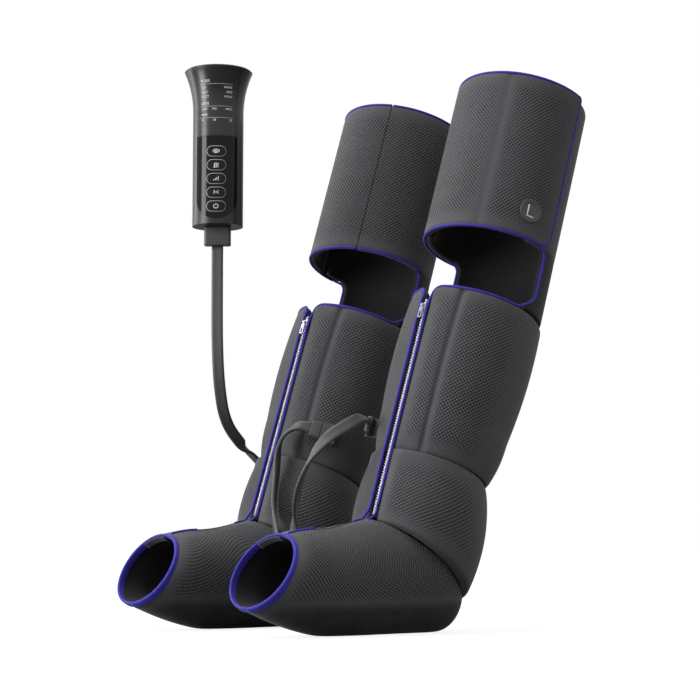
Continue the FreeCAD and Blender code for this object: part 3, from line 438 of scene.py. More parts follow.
lining = plain_cloth("lining_cloth", (0.008, 0.008, 0.009), (0.026, 0.026, 0.029))
panel_cloth = plain_cloth("panel_cloth", (0.010, 0.010, 0.011), (0.034, 0.034, 0.037), 900.0, 0.3)
piping_cloth = plain_cloth("piping_cloth", (0.024, 0.018, 0.190), (0.046, 0.036, 0.360), 1600.0, 0.5, 0.1,
                           0.6)
seam_thread = plain_cloth("seam_thread", (0.030, 0.030, 0.033), (0.080, 0.080, 0.085), 1600.0, 0.5)
tape_cloth = plain_cloth("tape_cloth", (0.002, 0.002, 0.002), (0.010, 0.010, 0.011), 1500.0, 0.5)
metal_bright = moulded("metal_bright", (0.40, 0.40, 0.42), (0.62, 0.62, 0.64), 0.34, 500.0, 0.05,
                       Metallic=1.0)
zip_silver = moulded("zip_silver", (0.62, 0.62, 0.62), (0.80, 0.80, 0.80), 0.45, 500.0, 0.05, Metallic=0.6)
hose_rubber = moulded("hose_rubber", (0.034, 0.034, 0.036), (0.060, 0.060, 0.063), 0.46)
plug_rubber = moulded("plug_rubber", (0.036, 0.036, 0.038), (0.060, 0.060, 0.063), 0.5)
shell_plastic = moulded("shell_plastic", (0.007, 0.007, 0.008), (0.013, 0.013, 0.015), 0.36,
                        Specular_IOR_Level=0.4)
cap_plastic = moulded("cap_plastic", (0.028, 0.028, 0.030), (0.042, 0.042, 0.045), 0.34,
                      Specular_IOR_Level=0.4)
label_plastic = moulded("label_plastic", (0.010, 0.010, 0.012), (0.018, 0.018, 0.021), 0.28,
                        Specular_IOR_Level=0.4)
gloss_black = moulded("gloss_black", (0.002, 0.002, 0.003), (0.004, 0.004, 0.005), 0.12, 60.0, 0.01,
                      Specular_IOR_Level=0.18)
key_gloss = moulded("key_gloss", (0.004, 0.004, 0.005), (0.008, 0.008, 0.009), 0.25, 60.0, 0.01,
                    Specular_IOR_Level=0.18)
print_white = moulded("print_white", (0.66, 0.66, 0.67), (0.80, 0.80, 0.82), 0.5)
print_grey = moulded("print_grey", (0.30, 0.30, 0.31), (0.40, 0.40, 0.41), 0.5)
badge_grey = moulded("badge_grey", (0.050, 0.050, 0.054), (0.080, 0.080, 0.085), 0.45,
                     Specular_IOR_Level=0.3)
film_grey = moulded("film_grey", (0.16, 0.16, 0.17), (0.25, 0.25, 0.26), 0.4)
heater_film = moulded("heater_film", (0.35, 0.10, 0.04), (0.55, 0.2, 0.1), 0.5)
hook_tape = moulded("hook_tape", (0.006, 0.006, 0.006), (0.02, 0.02, 0.02), 0.7, 1300.0, 0.9)
inner_plastic = moulded("inner_plastic", (0.4, 0.4, 0.38), (0.52, 0.52, 0.5), 0.5)
board_green = moulded("board_green", (0.01, 0.1, 0.04), (0.02, 0.16, 0.06), 0.4)
mat_grey = moulded("mat_grey", (0.22, 0.22, 0.22), (0.3, 0.3, 0.3), 0.6)
pump_alloy = moulded("pump_alloy", (0.5, 0.5, 0.5), (0.66, 0.66, 0.67), 0.35, 400.0, 0.1, Metallic=1.0)
print("materials", len(bpy.data.materials))

# %% [markdown]
# ## Camera
# A long lens from low down and to one side shows a tall object without bending its uprights. The
# camera stands at azimuth 50 degrees and looks up by about 6.

# %% Camera
camera_data = bpy.data.cameras.new("camera")
camera_data.sensor_width = 36.0
camera_data.sensor_fit = "HORIZONTAL"
camera_data.lens = 95.14
camera = bpy.data.objects.new("camera", camera_data)
bpy.context.scene.collection.objects.link(camera)
camera.location = (1.7902, -1.5134, 0.1102)
camera.rotation_euler = Vector((-0.762, 0.6394, 0.1023)).to_track_quat("-Z", "Y").to_euler()
bpy.context.scene.camera = camera
print("lens", camera_data.lens)

# %% [markdown]
# ## Hoses
# Each hose is three small air tubes side by side in one flat band of rubber, 15 mm wide. It hangs freely, so
# it bends softly everywhere and twists a little at a time. A curve with a bevel would be round, and a
# bevelled flat profile twists where the curve turns, so here the section is carried along the route by hand:
# at each point the broad face is turned towards a direction that changes evenly between a few set ones.

# %% Hoses
HOSE_W = 15.0
HOSE_T = 5.4
TRUNK = [(-116, -124.5, 485.7), (-116, -124.5, 424), (-116.6, -123.4, 358), (-120.5, -117, 306),
         (-135, -97, 262), (-164.6, -49.6, 236), (-198.8, 9, 213.3), (-212, 55.7, 175), (-206, 98, 122),
         (-181, 138, 72), (-138, 158, 32), (-90, 152, 10), (-46, 128, 8), (-16, 94, 8), (0, 62, 7.9),
         (0, 30, 7.9)]
BRANCH_LEFT = [(57.4, -18.5, 253.5), (65.8, -30.1, 258.0), (80, -51, 258.5), (87, -76, 249), (81, -100, 235),
               (66, -113, 214), (45, -113, 187), (23, -105, 161), (8, -95, 134), (3, -91, 106), (5, -90, 77),
               (11, -87, 50), (14, -73.5, 25), (14, -46, 7.9), (14, -14, 7.9)]
BRANCH_RIGHT = [(-57.4, -18.5, 253.5), (-62.4, -25.4, 256.2), (-70, -35, 254.7), (-80.5, -44.6, 243.3),
                (-82.7, -48.4, 233.3), (-81.9, -52.5, 218), (-79, -56, 192), (-74, -64.5, 162),
                (-66, -69.5, 138), (-52, -77, 117), (-37, -84, 98), (-24.5, -89, 78), (-17, -88, 51),
                (-14.5, -74, 25), (-14, -46, 7.9), (-14, -14, 7.9)]


def route_path(name, route):
    """Points along the smooth spline that a route's points set, in metres."""
    curve = bpy.data.curves.new(name, "CURVE")
    curve.dimensions = "3D"
    curve.resolution_u = 16
    spline = curve.splines.new("NURBS")
    spline.points.add(len(route) - 1)
    for point, (x, y, z) in zip(spline.points, route):
        point.co = (x * 0.001, (y + SHIFT) * 0.001, z * 0.001, 1.0)
    spline.order_u = 3
    spline.use_endpoint_u = True
    holder = bpy.data.objects.new(name, curve)
    bpy.context.scene.collection.objects.link(holder)
    read = bpy.data.meshes.new_from_object(holder.evaluated_get(bpy.context.evaluated_depsgraph_get()))
    path = [vertex.co.copy() for vertex in read.vertices]
    bpy.data.meshes.remove(read)
    bpy.data.objects.remove(holder)
    bpy.data.curves.remove(curve)
    return path


def band_section():
    """Outline of the flat hose: two rounded edges, and shallow grooves between its three air ways."""
    outline = []
    for k in range(36):
        c, s = math.cos(2 * math.pi * k / 36), math.sin(2 * math.pi * k / 36)
        x = HOSE_W / 2 * math.copysign(abs(c) ** 0.55, c)
        groove = 0.55 * sum(math.exp(-((x - g) / 0.8) ** 2) for g in (-2.6, 2.6))
        outline.append((x, math.copysign(max(HOSE_T / 2 * abs(s) ** 0.75 - groove, 0.0), s)))
    return outline


def hose(name, path, faces_towards):
    """A flat hose along a path; faces_towards holds (share of the way, direction of the broad face)."""
    outline = band_section()
    total = sum((b - a).length for a, b in zip(path, path[1:]))
    bm = bmesh.new()
    rings = []
    run = 0.0
    for i, here in enumerate(path):
        if i:
            run += (here - path[i - 1]).length
        along = (path[min(i + 1, len(path) - 1)] - path[max(i - 1, 0)]).normalized()
        for (s0, d0), (s1, d1) in zip(faces_towards, faces_towards[1:]):
            if run / total <= s1 or s1 == faces_towards[-1][0]:
                turn = eased((run / total - s0) / (s1 - s0))
                face = Vector(d0).normalized().lerp(Vector(d1).normalized(), turn)
                break
        face = (face - along * face.dot(along)).normalized()
        side = along.cross(face)
        rings.append([bm.verts.new(here * 1000 + side * x + face * y) for x, y in outline])
    for near, far in zip(rings, rings[1:]):
        for k in range(len(outline)):
            m = (k + 1) % len(outline)
            bm.faces.new((near[k], near[m], far[m], far[k]))
    bm.faces.new(rings[0])
    bm.faces.new(rings[-1])
    print(name, "length", round(total, 3))
    return new_piece(name, bm)


trunk_path = route_path("trunk_route", TRUNK)
left_path = route_path("left_route", BRANCH_LEFT)
right_path = route_path("right_route", BRANCH_RIGHT)
trunk = hose("hose_trunk", trunk_path,
             [(0.0, (0.66, -0.75, 0.0)), (0.3, (0.66, -0.75, 0.1)), (0.45, (0.35, -0.55, 0.75)),
              (0.6, (0.9, -0.1, 0.4)), (0.8, (0.3, 0.2, 1.0)), (1.0, (0.0, 0.0, 1.0))])
left_branch = hose("hose_left", left_path,
                   [(0.0, (0.64, -0.76, 0.3)), (0.16, (0.9, -0.3, 0.5)), (0.45, (-0.5, -0.5, 0.6)),
                    (0.7, (0.5, -0.8, 0.1)), (0.86, (0.0, -1.0, 0.3)), (1.0, (0.0, 0.0, 1.0))])
right_branch = hose("hose_right", right_path,
                    [(0.0, (0.64, -0.76, 0.3)), (0.1, (-0.3, -0.5, 0.8)), (0.2, (-0.9, -0.4, 0.3)),
                     (0.6, (-0.6, -0.7, 0.5)), (0.86, (0.0, -1.0, 0.3)), (1.0, (0.0, 0.0, 1.0))])
dress(trunk, "sleeves", hose_rubber, ["trunk_hose"])
dress(left_branch, "sleeves", hose_rubber, ["branch_hose_left"])
dress(right_branch, "sleeves", hose_rubber, ["branch_hose_right"])

# %% [markdown]
# ## Plugs and splitter
# Where a hose ends it is moulded into a plug, and where the trunk parts in two it lies in a flat block. They
# are rubber blocks with no sharp edge anywhere, which is what the block maker gives.

# %% Plugs and splitter
pump_plug_piece = block("pump_hose_plug", PUMP @ Matrix.Translation((0, 0, -12.35)), (34.0, 16.0, 23.9),
                        4.0, 1.2)
dress(pump_plug_piece, "sleeves", plug_rubber, ["pump_plug"])

PLUG_PLACE = (CALF @ Matrix.Rotation(math.radians(-56.0), 4, "Z") @ Matrix.Translation((17.3, -87.7, 38.5))
              @ Matrix.Rotation(math.radians(90), 4, "Y"))
plug_left = block("hose_plug_piece_left", PLUG_PLACE, (24.0, 8.6, 14.0), 3.0, 1.0, 0.86)
plug_pair = dress_pair(plug_left, "sleeves", plug_rubber, ["hose_plug"])

splitter_piece = block("hose_splitter", Matrix.Translation((0, 8.0 + SHIFT, 7.9)), (54.0, 44.0, 14.9),
                       8.0, 1.8)
dress(splitter_piece, "sleeves", plug_rubber, ["splitter"])

print("plugs", len(plug_pair) + 1)


# %% [markdown]
# ## Padded walls
# The sleeves are quilted: an outer face and a lining with foam between, sewn together at the edges, with
# sewn channels that press grooves into the outer face. One grid for the face and one for the lining,
# bent to their radii and welded along the edges, have exactly this make-up, and the edges roll in as a
# quarter circle because the two sheets meet half way. Sculpting would give folds but no even quilting.

# %% Padded walls
HEM_PLAIN = 4.0
HEM_FADE = 22.0
NO_EDGE = 99.0


def spread(low, high, step, roll, marks=()):
    """Sample places between two ends, closer at rolled ends and beside sewn channels."""
    places = [low + roll * (1 - math.cos(math.pi / 8 * k)) for k in range(5)]
    places += [high - roll * (1 - math.cos(math.pi / 8 * k)) for k in range(5)]
    inner = high - low - 2 * roll
    count = max(1, round(inner / step))
    places += [low + roll + inner * k / count for k in range(1, count)]
    for mark in marks:
        places += [mark + d for d in (-6, -4, -2.5, -1.2, 0, 1.2, 2.5, 4, 6)]
    places.sort()
    kept = [places[0]]
    for place in places[1:]:
        if place - kept[-1] > 0.35:
            kept.append(place)
    kept[-1] = places[-1]
    return kept


def rolled(distance, roll):
    """Share of the full thickness at a distance from a rolled edge."""
    d = max(0.0, min(distance, roll)) / roll
    return math.sqrt(max(0.0, 1 - (1 - d) ** 2))


def mesh_in_front(round_leg, first):
    """A smooth_at function for a band all round the leg: open mesh in front, and smooth cloth that starts at
    some degrees from the front on both sides."""
    return lambda u, v: 1 - eased((360.0 * min(u, round_leg - u) / round_leg - first) / 26.0)


def wall(name, place, us, vs, sheets, rolls, channels=(), cloth_at=None, reach=None, smooth_at=None,
         hems=(1, 1, 1, 1)):
    """A padded wall. sheets(u, v) gives the outer and the inner point, rolls the width of the rolled edge
    at each end of u and v, channels the (kind, place, depth, width) of what is sewn in, cloth_at(u, v) the
    map, reach(u, v) the four distances to the edges, smooth_at(u, v) how far the mesh is open, and hems
    which of the four edges are pulled smooth."""
    bm = bmesh.new()
    deform = bm.verts.layers.deform.verify()
    weave = bm.verts.layers.float.new("weave")
    spot_on_map = bm.verts.layers.float_vector.new("spot_on_map")
    cloth = bm.loops.layers.uv.new("cloth")
    last_u, last_v = len(us) - 1, len(vs) - 1
    for layer in (0, 1):
        grid = bmesh.ops.create_grid(bm, x_segments=last_u, y_segments=last_v, size=0.5)["verts"]
        for vert in grid:
            u = us[round((vert.co.x + 0.5) * last_u)]
            v = vs[round((vert.co.y + 0.5) * last_v)]
            edges = reach(u, v) if reach else (u - us[0], us[-1] - u, v - vs[0], vs[-1] - v)
            full = 1.0
            for distance, roll in zip(edges, rolls):
                if roll:
                    full *= rolled(distance, roll)
            outer, inner = sheets(u, v)
            middle = (outer + inner) / 2
            hem = min(distance if hemmed else NO_EDGE for distance, hemmed in zip(edges, hems))
            share = eased((hem - HEM_PLAIN) / HEM_FADE)
            weight = max(0.05, 1 - min(edges) / 10.0)
            depth = 0.0
            for kind, at, deep, width in channels:
                gap = abs((u if kind == "u" else v) - at)
                depth += deep * math.exp(-(gap / width) ** 2)
                share *= 1 - 0.8 * math.exp(-(gap / (1.6 * width)) ** 2)
                weight = max(weight, 1 - gap / (2.2 * width))
            if layer:
                vert.co = middle + (inner - middle) * full
            else:
                spot = middle + (outer - middle) * full
                spot -= (outer - inner).normalized() * min(depth, (outer - middle).length) * full
                vert.co = spot
            vert[weave] = share * (smooth_at(u, v) if smooth_at else 1.0)
            vert[deform][0] = 1.0 if layer else min(1.0, weight)
            vert[spot_on_map] = (*(cloth_at(u, v) if cloth_at else (u, v)), 0.0)
    for face in bm.faces:
        for loop in face.loops:
            loop[cloth].uv = loop.vert[spot_on_map].xy
    bm.verts.layers.float_vector.remove(spot_on_map)
    bmesh.ops.remove_doubles(bm, verts=bm.verts, dist=0.001)
    piece = new_piece(name, bm, place)
    piece.vertex_groups.new(name="pins")
    return piece


# %% [markdown]
# ## Letting the air in
# A quilted face doesn't lie as the grid leaves it: the filling pushes it out between the seams. A cloth
# simulation with inner pressure, held along the seams and at the lining, gives that swell for little
# work. Its reach is capped, so that the cloth stays outside what it covers. After it one
# level of subdivision rounds the quads off, and the faces that look at the leg get the lining.

# %% Air and lining
def puff(piece, pressure, cap, frames=14):
    """Swells a padded piece with air pressure between its pinned seams."""
    before = [vertex.co.copy() for vertex in piece.data.vertices]
    scene = bpy.context.scene
    change = piece.modifiers.new("cloth", "CLOTH")
    settings = change.settings
    settings.quality = 4
    settings.mass = 0.25
    settings.tension_stiffness = 18
    settings.compression_stiffness = 18
    settings.shear_stiffness = 8
    settings.bending_stiffness = 0.6
    settings.use_pressure = True
    settings.uniform_pressure_force = pressure
    settings.vertex_group_mass = "pins"
    settings.pin_stiffness = 2.0
    settings.effector_weights.gravity = 0.0
    change.collision_settings.use_collision = False
    change.point_cache.frame_start = 1
    change.point_cache.frame_end = frames
    for number in range(1, frames + 1):
        scene.frame_set(number)
    shaped = piece.evaluated_get(bpy.context.evaluated_depsgraph_get()).data
    moved = []
    for start, vertex in zip(before, shaped.vertices):
        step = vertex.co - start
        if step.length > cap:
            step *= cap / step.length
        moved.append(start + step)
    piece.modifiers.clear()
    for vertex, spot in zip(piece.data.vertices, moved):
        vertex.co = spot
    scene.frame_set(1)
    print(piece.name, "puffed by up to", round(max((a - b).length for a, b in zip(before, moved)) * 1000, 1))


def two_faced(piece, outside, centre_line):
    """Cloth outside and lining where the piece faces the leg: centre_line(point) is the axis beside it."""
    piece.data.materials.clear()
    piece.data.materials.append(outside)
    piece.data.materials.append(lining)
    for polygon in piece.data.polygons:
        spot = polygon.center * 1000
        if polygon.normal.dot(centre_line(spot) - spot) > 0:
            polygon.material_index = 1
    print(piece.name, len(piece.data.polygons), "faces")


def axis_of(place):
    """A function that gives the nearest point on a frame's Z axis."""
    origin = place.translation.copy()
    along = (place.to_3x3() @ Vector((0, 0, 1))).normalized()
    return lambda p: origin + along * (p - origin).dot(along)


# %% [markdown]
# ## Calf
# The calf is one padded band that runs round the leg from one side of the zip to the other, with its two
# top corners rounded beside the zip. Its outline swells over the muscle, so the outer radius follows a curve
# through three heights. The zip is stiff and stays straight, so beside it the wall is led down to its level.
# Four sewn channels run up the calf and part the air chambers. The mesh ends at the sides, and the back is
# smooth cloth.

# %% Calf
ZIP_HALF = 7.8
CALF_ROUND = 2 * math.pi * 80
CALF_U = (ZIP_HALF, CALF_ROUND - ZIP_HALF)
CALF_CORNER = 12.0


def beside_zip(radius, level, distance):
    """Radius of a wall that is led to the level of the zip as it comes near it."""
    near = 1 - eased((distance - 3.0) / 16.0)
    return radius + (level - radius) * near


def calf_outer(z):
    """Outer radius of the calf at a height."""
    return arc_radius((70.5, 0.0), (85.0, CALF_LEN / 2), (84.0, CALF_LEN), z)


def calf_sheets(u, v):
    """Points of the calf's two sheets; u is millimetres round the leg at radius 80."""
    beside = min(u - CALF_U[0], CALF_U[1] - u, CALF_CORNER)
    top = CALF_LEN - CALF_CORNER + math.sqrt(max(0.0, CALF_CORNER ** 2 - (CALF_CORNER - beside) ** 2))
    z = v if v < 150 else 150 + (v - 150) * (top - 150) / (CALF_LEN - 150)
    radius = calf_outer(z)
    edge = math.degrees(math.asin(ZIP_HALF / radius))
    angle = edge + (360 - 2 * edge) * (u - CALF_U[0]) / (CALF_U[1] - CALF_U[0])
    swell = 2.0 * math.sin(math.pi * z / 60.0) if z < 60 else 0.0
    outer = beside_zip(radius + swell, 74.6 + 0.0542 * z, min(u - CALF_U[0], CALF_U[1] - u))
    return ring_point(outer, angle, z), ring_point(66.0 + 7.0 * z / CALF_LEN, angle, z)


calf_marks = [mark * CALF_ROUND / 360 for mark in (34, 146, 214, 326)]
calf_piece = wall("calf_pad_left", CALF, spread(*CALF_U, 6.5, 4.0, calf_marks),
                  spread(0.2, CALF_LEN - 0.2, 6.5, 6.0), calf_sheets, (4.0, 4.0, 7.0, 5.0),
                  [("u", mark, 4.0, 4.6) for mark in calf_marks],
                  smooth_at=mesh_in_front(CALF_ROUND, 78.0))
puff(calf_piece, 3.0, 0.003)
subdivide(calf_piece)
two_faced(calf_piece, mesh_black, axis_of(CALF))
dress_pair(calf_piece, "sleeves", None, ["calf_wrap"])

# %% [markdown]
# ## Ankle
# The ankle fills the wedge between the level foot and the leaning calf. Its upper edge lies in the plane of
# the crease under the calf. Its lower edge follows the sloping plane of the seam over the instep, and laps a
# little way over the foot so that no gap shows. A band of even height would be too short at the front or
# the heel, so each column of the grid first finds, by halving, where the wall meets the two planes.

# %% Ankle
CREASE_NORMAL = CALF.to_3x3() @ Vector((0, 0, 1))
SEAM_NORMAL = Vector((0, math.sin(math.radians(36.9)), math.cos(math.radians(36.9))))
SEAM_POINT = Vector((BOOT_X, SHIFT - 56.5, 132.0))
SEAM_LAP = 9.0
ANKLE_ROUND = 2 * math.pi * 75
ANKLE_U = (8.0, ANKLE_ROUND - 8.0)
ankle_limits = {}


def ankle_outer(z):
    """Outer radius of the ankle at a height below the crease."""
    return 71.5 if z > 0 else arc_radius((60.0, -165.0), (81.5, -62.0), (71.5, 0.0), z)


def height_on_plane(angle, plane_point, normal):
    """Height where the outside of the ankle meets a plane, at an angle."""
    low, high = -200.0, 60.0
    for _ in range(30):
        middle = (low + high) / 2
        if (ANKLE @ ring_point(ankle_outer(middle), angle, middle) - plane_point).dot(normal) > 0:
            high = middle
        else:
            low = middle
    return middle


def ankle_sheets(u, v):
    """Points of the ankle's two sheets; v runs from 0 at the seam to 100 at the crease."""
    angle = round(5.0 + 350.0 * (u - ANKLE_U[0]) / (ANKLE_U[1] - ANKLE_U[0]), 3)
    if angle not in ankle_limits:
        ankle_limits[angle] = (height_on_plane(angle, SEAM_POINT, SEAM_NORMAL) - SEAM_LAP,
                               height_on_plane(angle, CALF.translation, CREASE_NORMAL) - 0.5)
    low, high = ankle_limits[angle]
    z = low + (high - low) * v / 100.0
    beside = min(u - ANKLE_U[0], ANKLE_U[1] - u)
    outer = ring_point(beside_zip(ankle_outer(z), 68.2 - 0.1086 * z, beside), angle, z)
    if abs(outer.x) < ZIP_HALF and outer.y < 0:
        outer.x = math.copysign(ZIP_HALF, outer.x)
    return outer, ring_point(54.0 + 12.0 * v / 100.0, angle, z)


ankle_piece = wall("ankle_pad_left", ANKLE, spread(*ANKLE_U, 6.0, 4.0), spread(0, 100, 6, 6.0), ankle_sheets,
                   (4.0, 4.0, 3.5, 8.0), cloth_at=lambda u, v: (u, v * 1.1),
                   smooth_at=mesh_in_front(ANKLE_ROUND, 88.0))
puff(ankle_piece, 3.0, 0.0022)
subdivide(ankle_piece)
two_faced(ankle_piece, mesh_black, axis_of(ANKLE))
dress_pair(ankle_piece, "sleeves", None, ["ankle_wrap"])

# %% [markdown]
# ## Foot
# The foot is a sock shape that opens at the toes, and no simple sweep makes it. The construction model holds
# its true outside. Planes that fan out from a pivot above the instep, from the toe opening round to the
# ankle's seam, cut that solid into closed rings, and the rings carry the same two-sheet wall as the calf.
# The wall is thin at the toe opening, where the binding holds it, and thick under the sole. At the other end
# one more ring tucks it under the ankle, so that no gap shows at the seam.

# %% Foot
FOOT_COUNT = 96
FOOT_SHARES = ([0.004, 0.010, 0.02, 0.045] + [0.045 + 0.91 * k / 46 for k in range(1, 46)]
               + [0.955, 0.98, 0.990, 0.9995])


def fan_rings():
    """Centre and outer ring of the foot in each plane, in millimetres, from toe opening to ankle seam."""
    mesh = nodes["foot_shell_left"].data
    tree = BVHTree.FromPolygons([v.co * 1000 for v in mesh.vertices], [p.vertices for p in mesh.polygons])
    pivot = Vector((BOOT_X + 0.23, SHIFT - 151.8, 203.4))
    first = math.atan2(75.0 - pivot.z, SHIFT - 226.0 - pivot.y)
    last = math.radians(-36.9)
    reach = [99.3, 197.3]
    found = []
    for share in FOOT_SHARES:
        a = first + (last - first) * share
        along = Vector((0, math.cos(a), math.sin(a)))
        for far in (0, 1):
            hit = tree.ray_cast(pivot + along * 420.0 * far, -along if far else along)
            if hit[0] is not None:
                reach[far] = (hit[0] - pivot).length
        centre = pivot + along * (sum(reach) / 2)
        ring = []
        for k in range(FOOT_COUNT):
            t = 2 * math.pi * k / FOOT_COUNT
            ray = Vector((math.sin(t), 0, 0)) - along * math.cos(t)
            hit = tree.ray_cast(centre + ray * 260, -ray)
            ring.append(hit[0] if hit[0] is not None else centre + ray * 40)
        found.append((centre, ring))
    return found


TUCK = 6.0
rings = fan_rings()
tuck_centre, tuck_ring = rings[-1]
rings.append((tuck_centre + SEAM_NORMAL * TUCK,
              [spot + SEAM_NORMAL * TUCK + (tuck_centre - spot).normalized() * 4.0 for spot in tuck_ring]))
foot_travel = [0.0]
foot_round = []
for row, (centre, ring) in enumerate(rings):
    if row:
        side = FOOT_COUNT // 4
        foot_travel.append(foot_travel[-1] + (ring[side] - rings[row - 1][1][side]).length)
    girth = [0.0]
    for k in range(FOOT_COUNT):
        girth.append(girth[-1] + (ring[(k + 1) % FOOT_COUNT] - ring[k]).length)
    foot_round.append(girth)


def foot_sheets(k, row):
    """Outer and inner point of the foot; k counts round a ring and row along the foot."""
    centre, ring = rings[row]
    spot = ring[k % FOOT_COUNT]
    thick = 2.8 + 9.2 * eased(foot_travel[row] / 34.0)
    if spot.z < 26.5:
        thick = max(thick, 2.8 + (26.5 - spot.z) * eased(foot_travel[row] / 24.0))
    inwards = centre - spot
    return spot, spot + inwards.normalized() * min(thick, inwards.length * 0.6)


SOLE_TOP = 26.0


def foot_smooth(k, row):
    """How far the foot's mesh is open: closed along the ridge of the instep, and plain and dark low down."""
    spot = rings[row][1][k % FOOT_COUNT]
    low = -1.0 + 2.0 * eased((spot.z - SOLE_TOP) / 26.0)
    ridge = eased((abs(spot.x - BOOT_X) - 5.0) / 10.0) if spot.z > 75 else 1.0
    return low * ridge


foot_piece = wall("foot_pad_left", Matrix.Identity(4), list(range(FOOT_COUNT + 1)), list(range(len(rings))),
                  foot_sheets, (0, 0, 3.0, 3.0),
                  cloth_at=lambda k, row: (foot_round[row][k], foot_travel[row]),
                  reach=lambda k, row: (NO_EDGE, NO_EDGE, foot_travel[row],
                                        foot_travel[-1] - foot_travel[row]),
                  smooth_at=foot_smooth)
bm = bmesh.new()
bm.from_mesh(foot_piece.data)
for _ in range(3):
    bmesh.ops.smooth_vert(bm, verts=bm.verts, factor=0.4, use_axis_x=True, use_axis_y=True, use_axis_z=True)
bm.to_mesh(foot_piece.data)
bm.free()
puff(foot_piece, 3.0, 0.0022)
subdivide(foot_piece)
for vertex in foot_piece.data.vertices:
    vertex.co.z = max(vertex.co.z, 0.0002)
foot_axis = [centre for centre, _ in rings]
two_faced(foot_piece, mesh_black, lambda p: min(foot_axis, key=lambda c: (c - p).length))
foot_tree = BVHTree.FromPolygons([v.co * 1000 for v in foot_piece.data.vertices],
                                 [p.vertices for p in foot_piece.data.polygons])
dress_pair(foot_piece, "sleeves", None, ["foot_shell"])


# %% [markdown]
# ## Panel behind the knee
# Behind the knee one smooth, thinner panel joins the calf to the thigh cuff and is the only thing that
# does. Its sides spread in an arc where they meet the two. When the sleeve folds, this cloth bends. Here it
# is one piece, fixed in the pose in which it is built.

# %% Knee panel
def sector_width(radius, first, last):
    """Width round the leg between two angles."""
    return math.radians(last - first) * radius


PANEL_FIRST, PANEL_LAST = 104.0, 256.0
CUFF_FILLET = 12.0
CALF_FILLET = 18.0
CALF_FILLET_TOP = 29.0
BEND = ((0.0, 82.0, 24.0), (0.0, 82.0, 61.0))
panel_width = sector_width(PANEL_R, PANEL_FIRST, PANEL_LAST)
panel_marks = [panel_width * 0.32, panel_width * 0.68]


def panel_reach(v):
    """Degrees by which the panel's sides spread where it meets the cuff and the calf."""
    reach = 0.0
    for radius, rise in ((CUFF_FILLET, v - (CUFF_LOW - CUFF_FILLET)), (CALF_FILLET, CALF_FILLET_TOP - v)):
        rise = min(max(rise, 0.0), radius - 0.1)
        reach += radius - math.sqrt(radius * radius - rise * rise)
    return math.degrees(reach / PANEL_R)


def panel_sheets(u, v):
    """Points of the panel's two sheets."""
    angle = PANEL_FIRST + math.degrees(u / PANEL_R) + panel_reach(v) * (2.0 * u / panel_width - 1.0)
    return ring_point(PANEL_R, angle, v), ring_point(74.0, angle, v)


panel_piece = wall("knee_pad_left", THIGH, spread(0, panel_width, 6, 4, panel_marks),
                   spread(1.5, CUFF_LOW + 3.0, 4, 3), panel_sheets, (4, 4, 3, 3),
                   [("u", mark, 2.2, 3.2) for mark in panel_marks])
subdivide(panel_piece)
two_faced(panel_piece, panel_cloth, axis_of(THIGH))
dress_pair(panel_piece, "sleeves", None, ["knee_panel"], bend=BEND)

# %% [markdown]
# ## Thigh cuff
# The cuff holds the thigh. It is thin on the outer side, where the flap laps over it, and at the back, and
# thick on the inner side. The two thicknesses run into each other over a few degrees, as foam does under a
# seam. The back is smooth cloth and the mesh starts beyond it.

# %% Thigh cuff
CUFF_FIRST, CUFF_LAST = 78.0, 325.8
cuff_width = sector_width(CUFF_R, CUFF_FIRST, CUFF_LAST)


def cuff_sheets(u, v):
    """Points of the cuff's two sheets."""
    angle = CUFF_FIRST + math.degrees(u / CUFF_R)
    return ring_point(82.0 + 6.0 * eased((angle - 250.0) / 12.0), angle, v), ring_point(74.0, angle, v)


cuff_marks = [math.radians(a - CUFF_FIRST) * CUFF_R for a in (150, 210, 256)]
cuff_piece = wall("cuff_pad_left", THIGH, spread(0, cuff_width, 6.5, 4, cuff_marks),
                  spread(CUFF_LOW - 1.0, CUFF_TOP + 1.0, 6.5, 5), cuff_sheets, (4, 0.4, 5, 5),
                  [("u", mark, 2.6, 3.4) for mark in cuff_marks], hems=(1, 0, 1, 1),
                  smooth_at=lambda u, v: eased((u - 190.0) / 60.0))
puff(cuff_piece, 3.0, 0.002)
subdivide(cuff_piece)
two_faced(cuff_piece, mesh_black, axis_of(THIGH))
dress_pair(cuff_piece, "thigh", None, ["thigh_cuff"])

# %% [markdown]
# ## Flap
# The flap goes round the front of the thigh and closes on the outer side with hook tape. It is a thick pad
# in front that runs out into a thin tongue, and its free lower corner is rounded. The corner needs no
# cutting: the rows of the grid are squeezed up towards the corner's arc.

# %% Flap
FLAP_FIRST, FLAP_PAD, FLAP_LAST = -35.4, 76.0, 102.0
FLAP_CORNER = 20.0
flap_width = sector_width(CUFF_R, FLAP_FIRST, FLAP_LAST)


def flap_low(u):
    """Lower edge of the flap, rounded up at its free corner."""
    left = flap_width - u
    if left >= FLAP_CORNER:
        return CUFF_LOW
    return CUFF_LOW + FLAP_CORNER - math.sqrt(max(0.0, FLAP_CORNER ** 2 - (FLAP_CORNER - left) ** 2))


def flap_sheets(u, v):
    """Points of the flap's two sheets: thick round the front, thin where it laps over the cuff."""
    angle = FLAP_FIRST + math.degrees(u / CUFF_R)
    inner = 83.6 + (77.5 - 83.6) * eased((FLAP_PAD - angle) / 8.0)
    low = flap_low(u) - 1.0
    z = low + (CUFF_TOP + 1.0 - low) * (v - CUFF_LOW) / (CUFF_TOP - CUFF_LOW)
    return ring_point(CUFF_R, angle, z), ring_point(inner, angle, z)


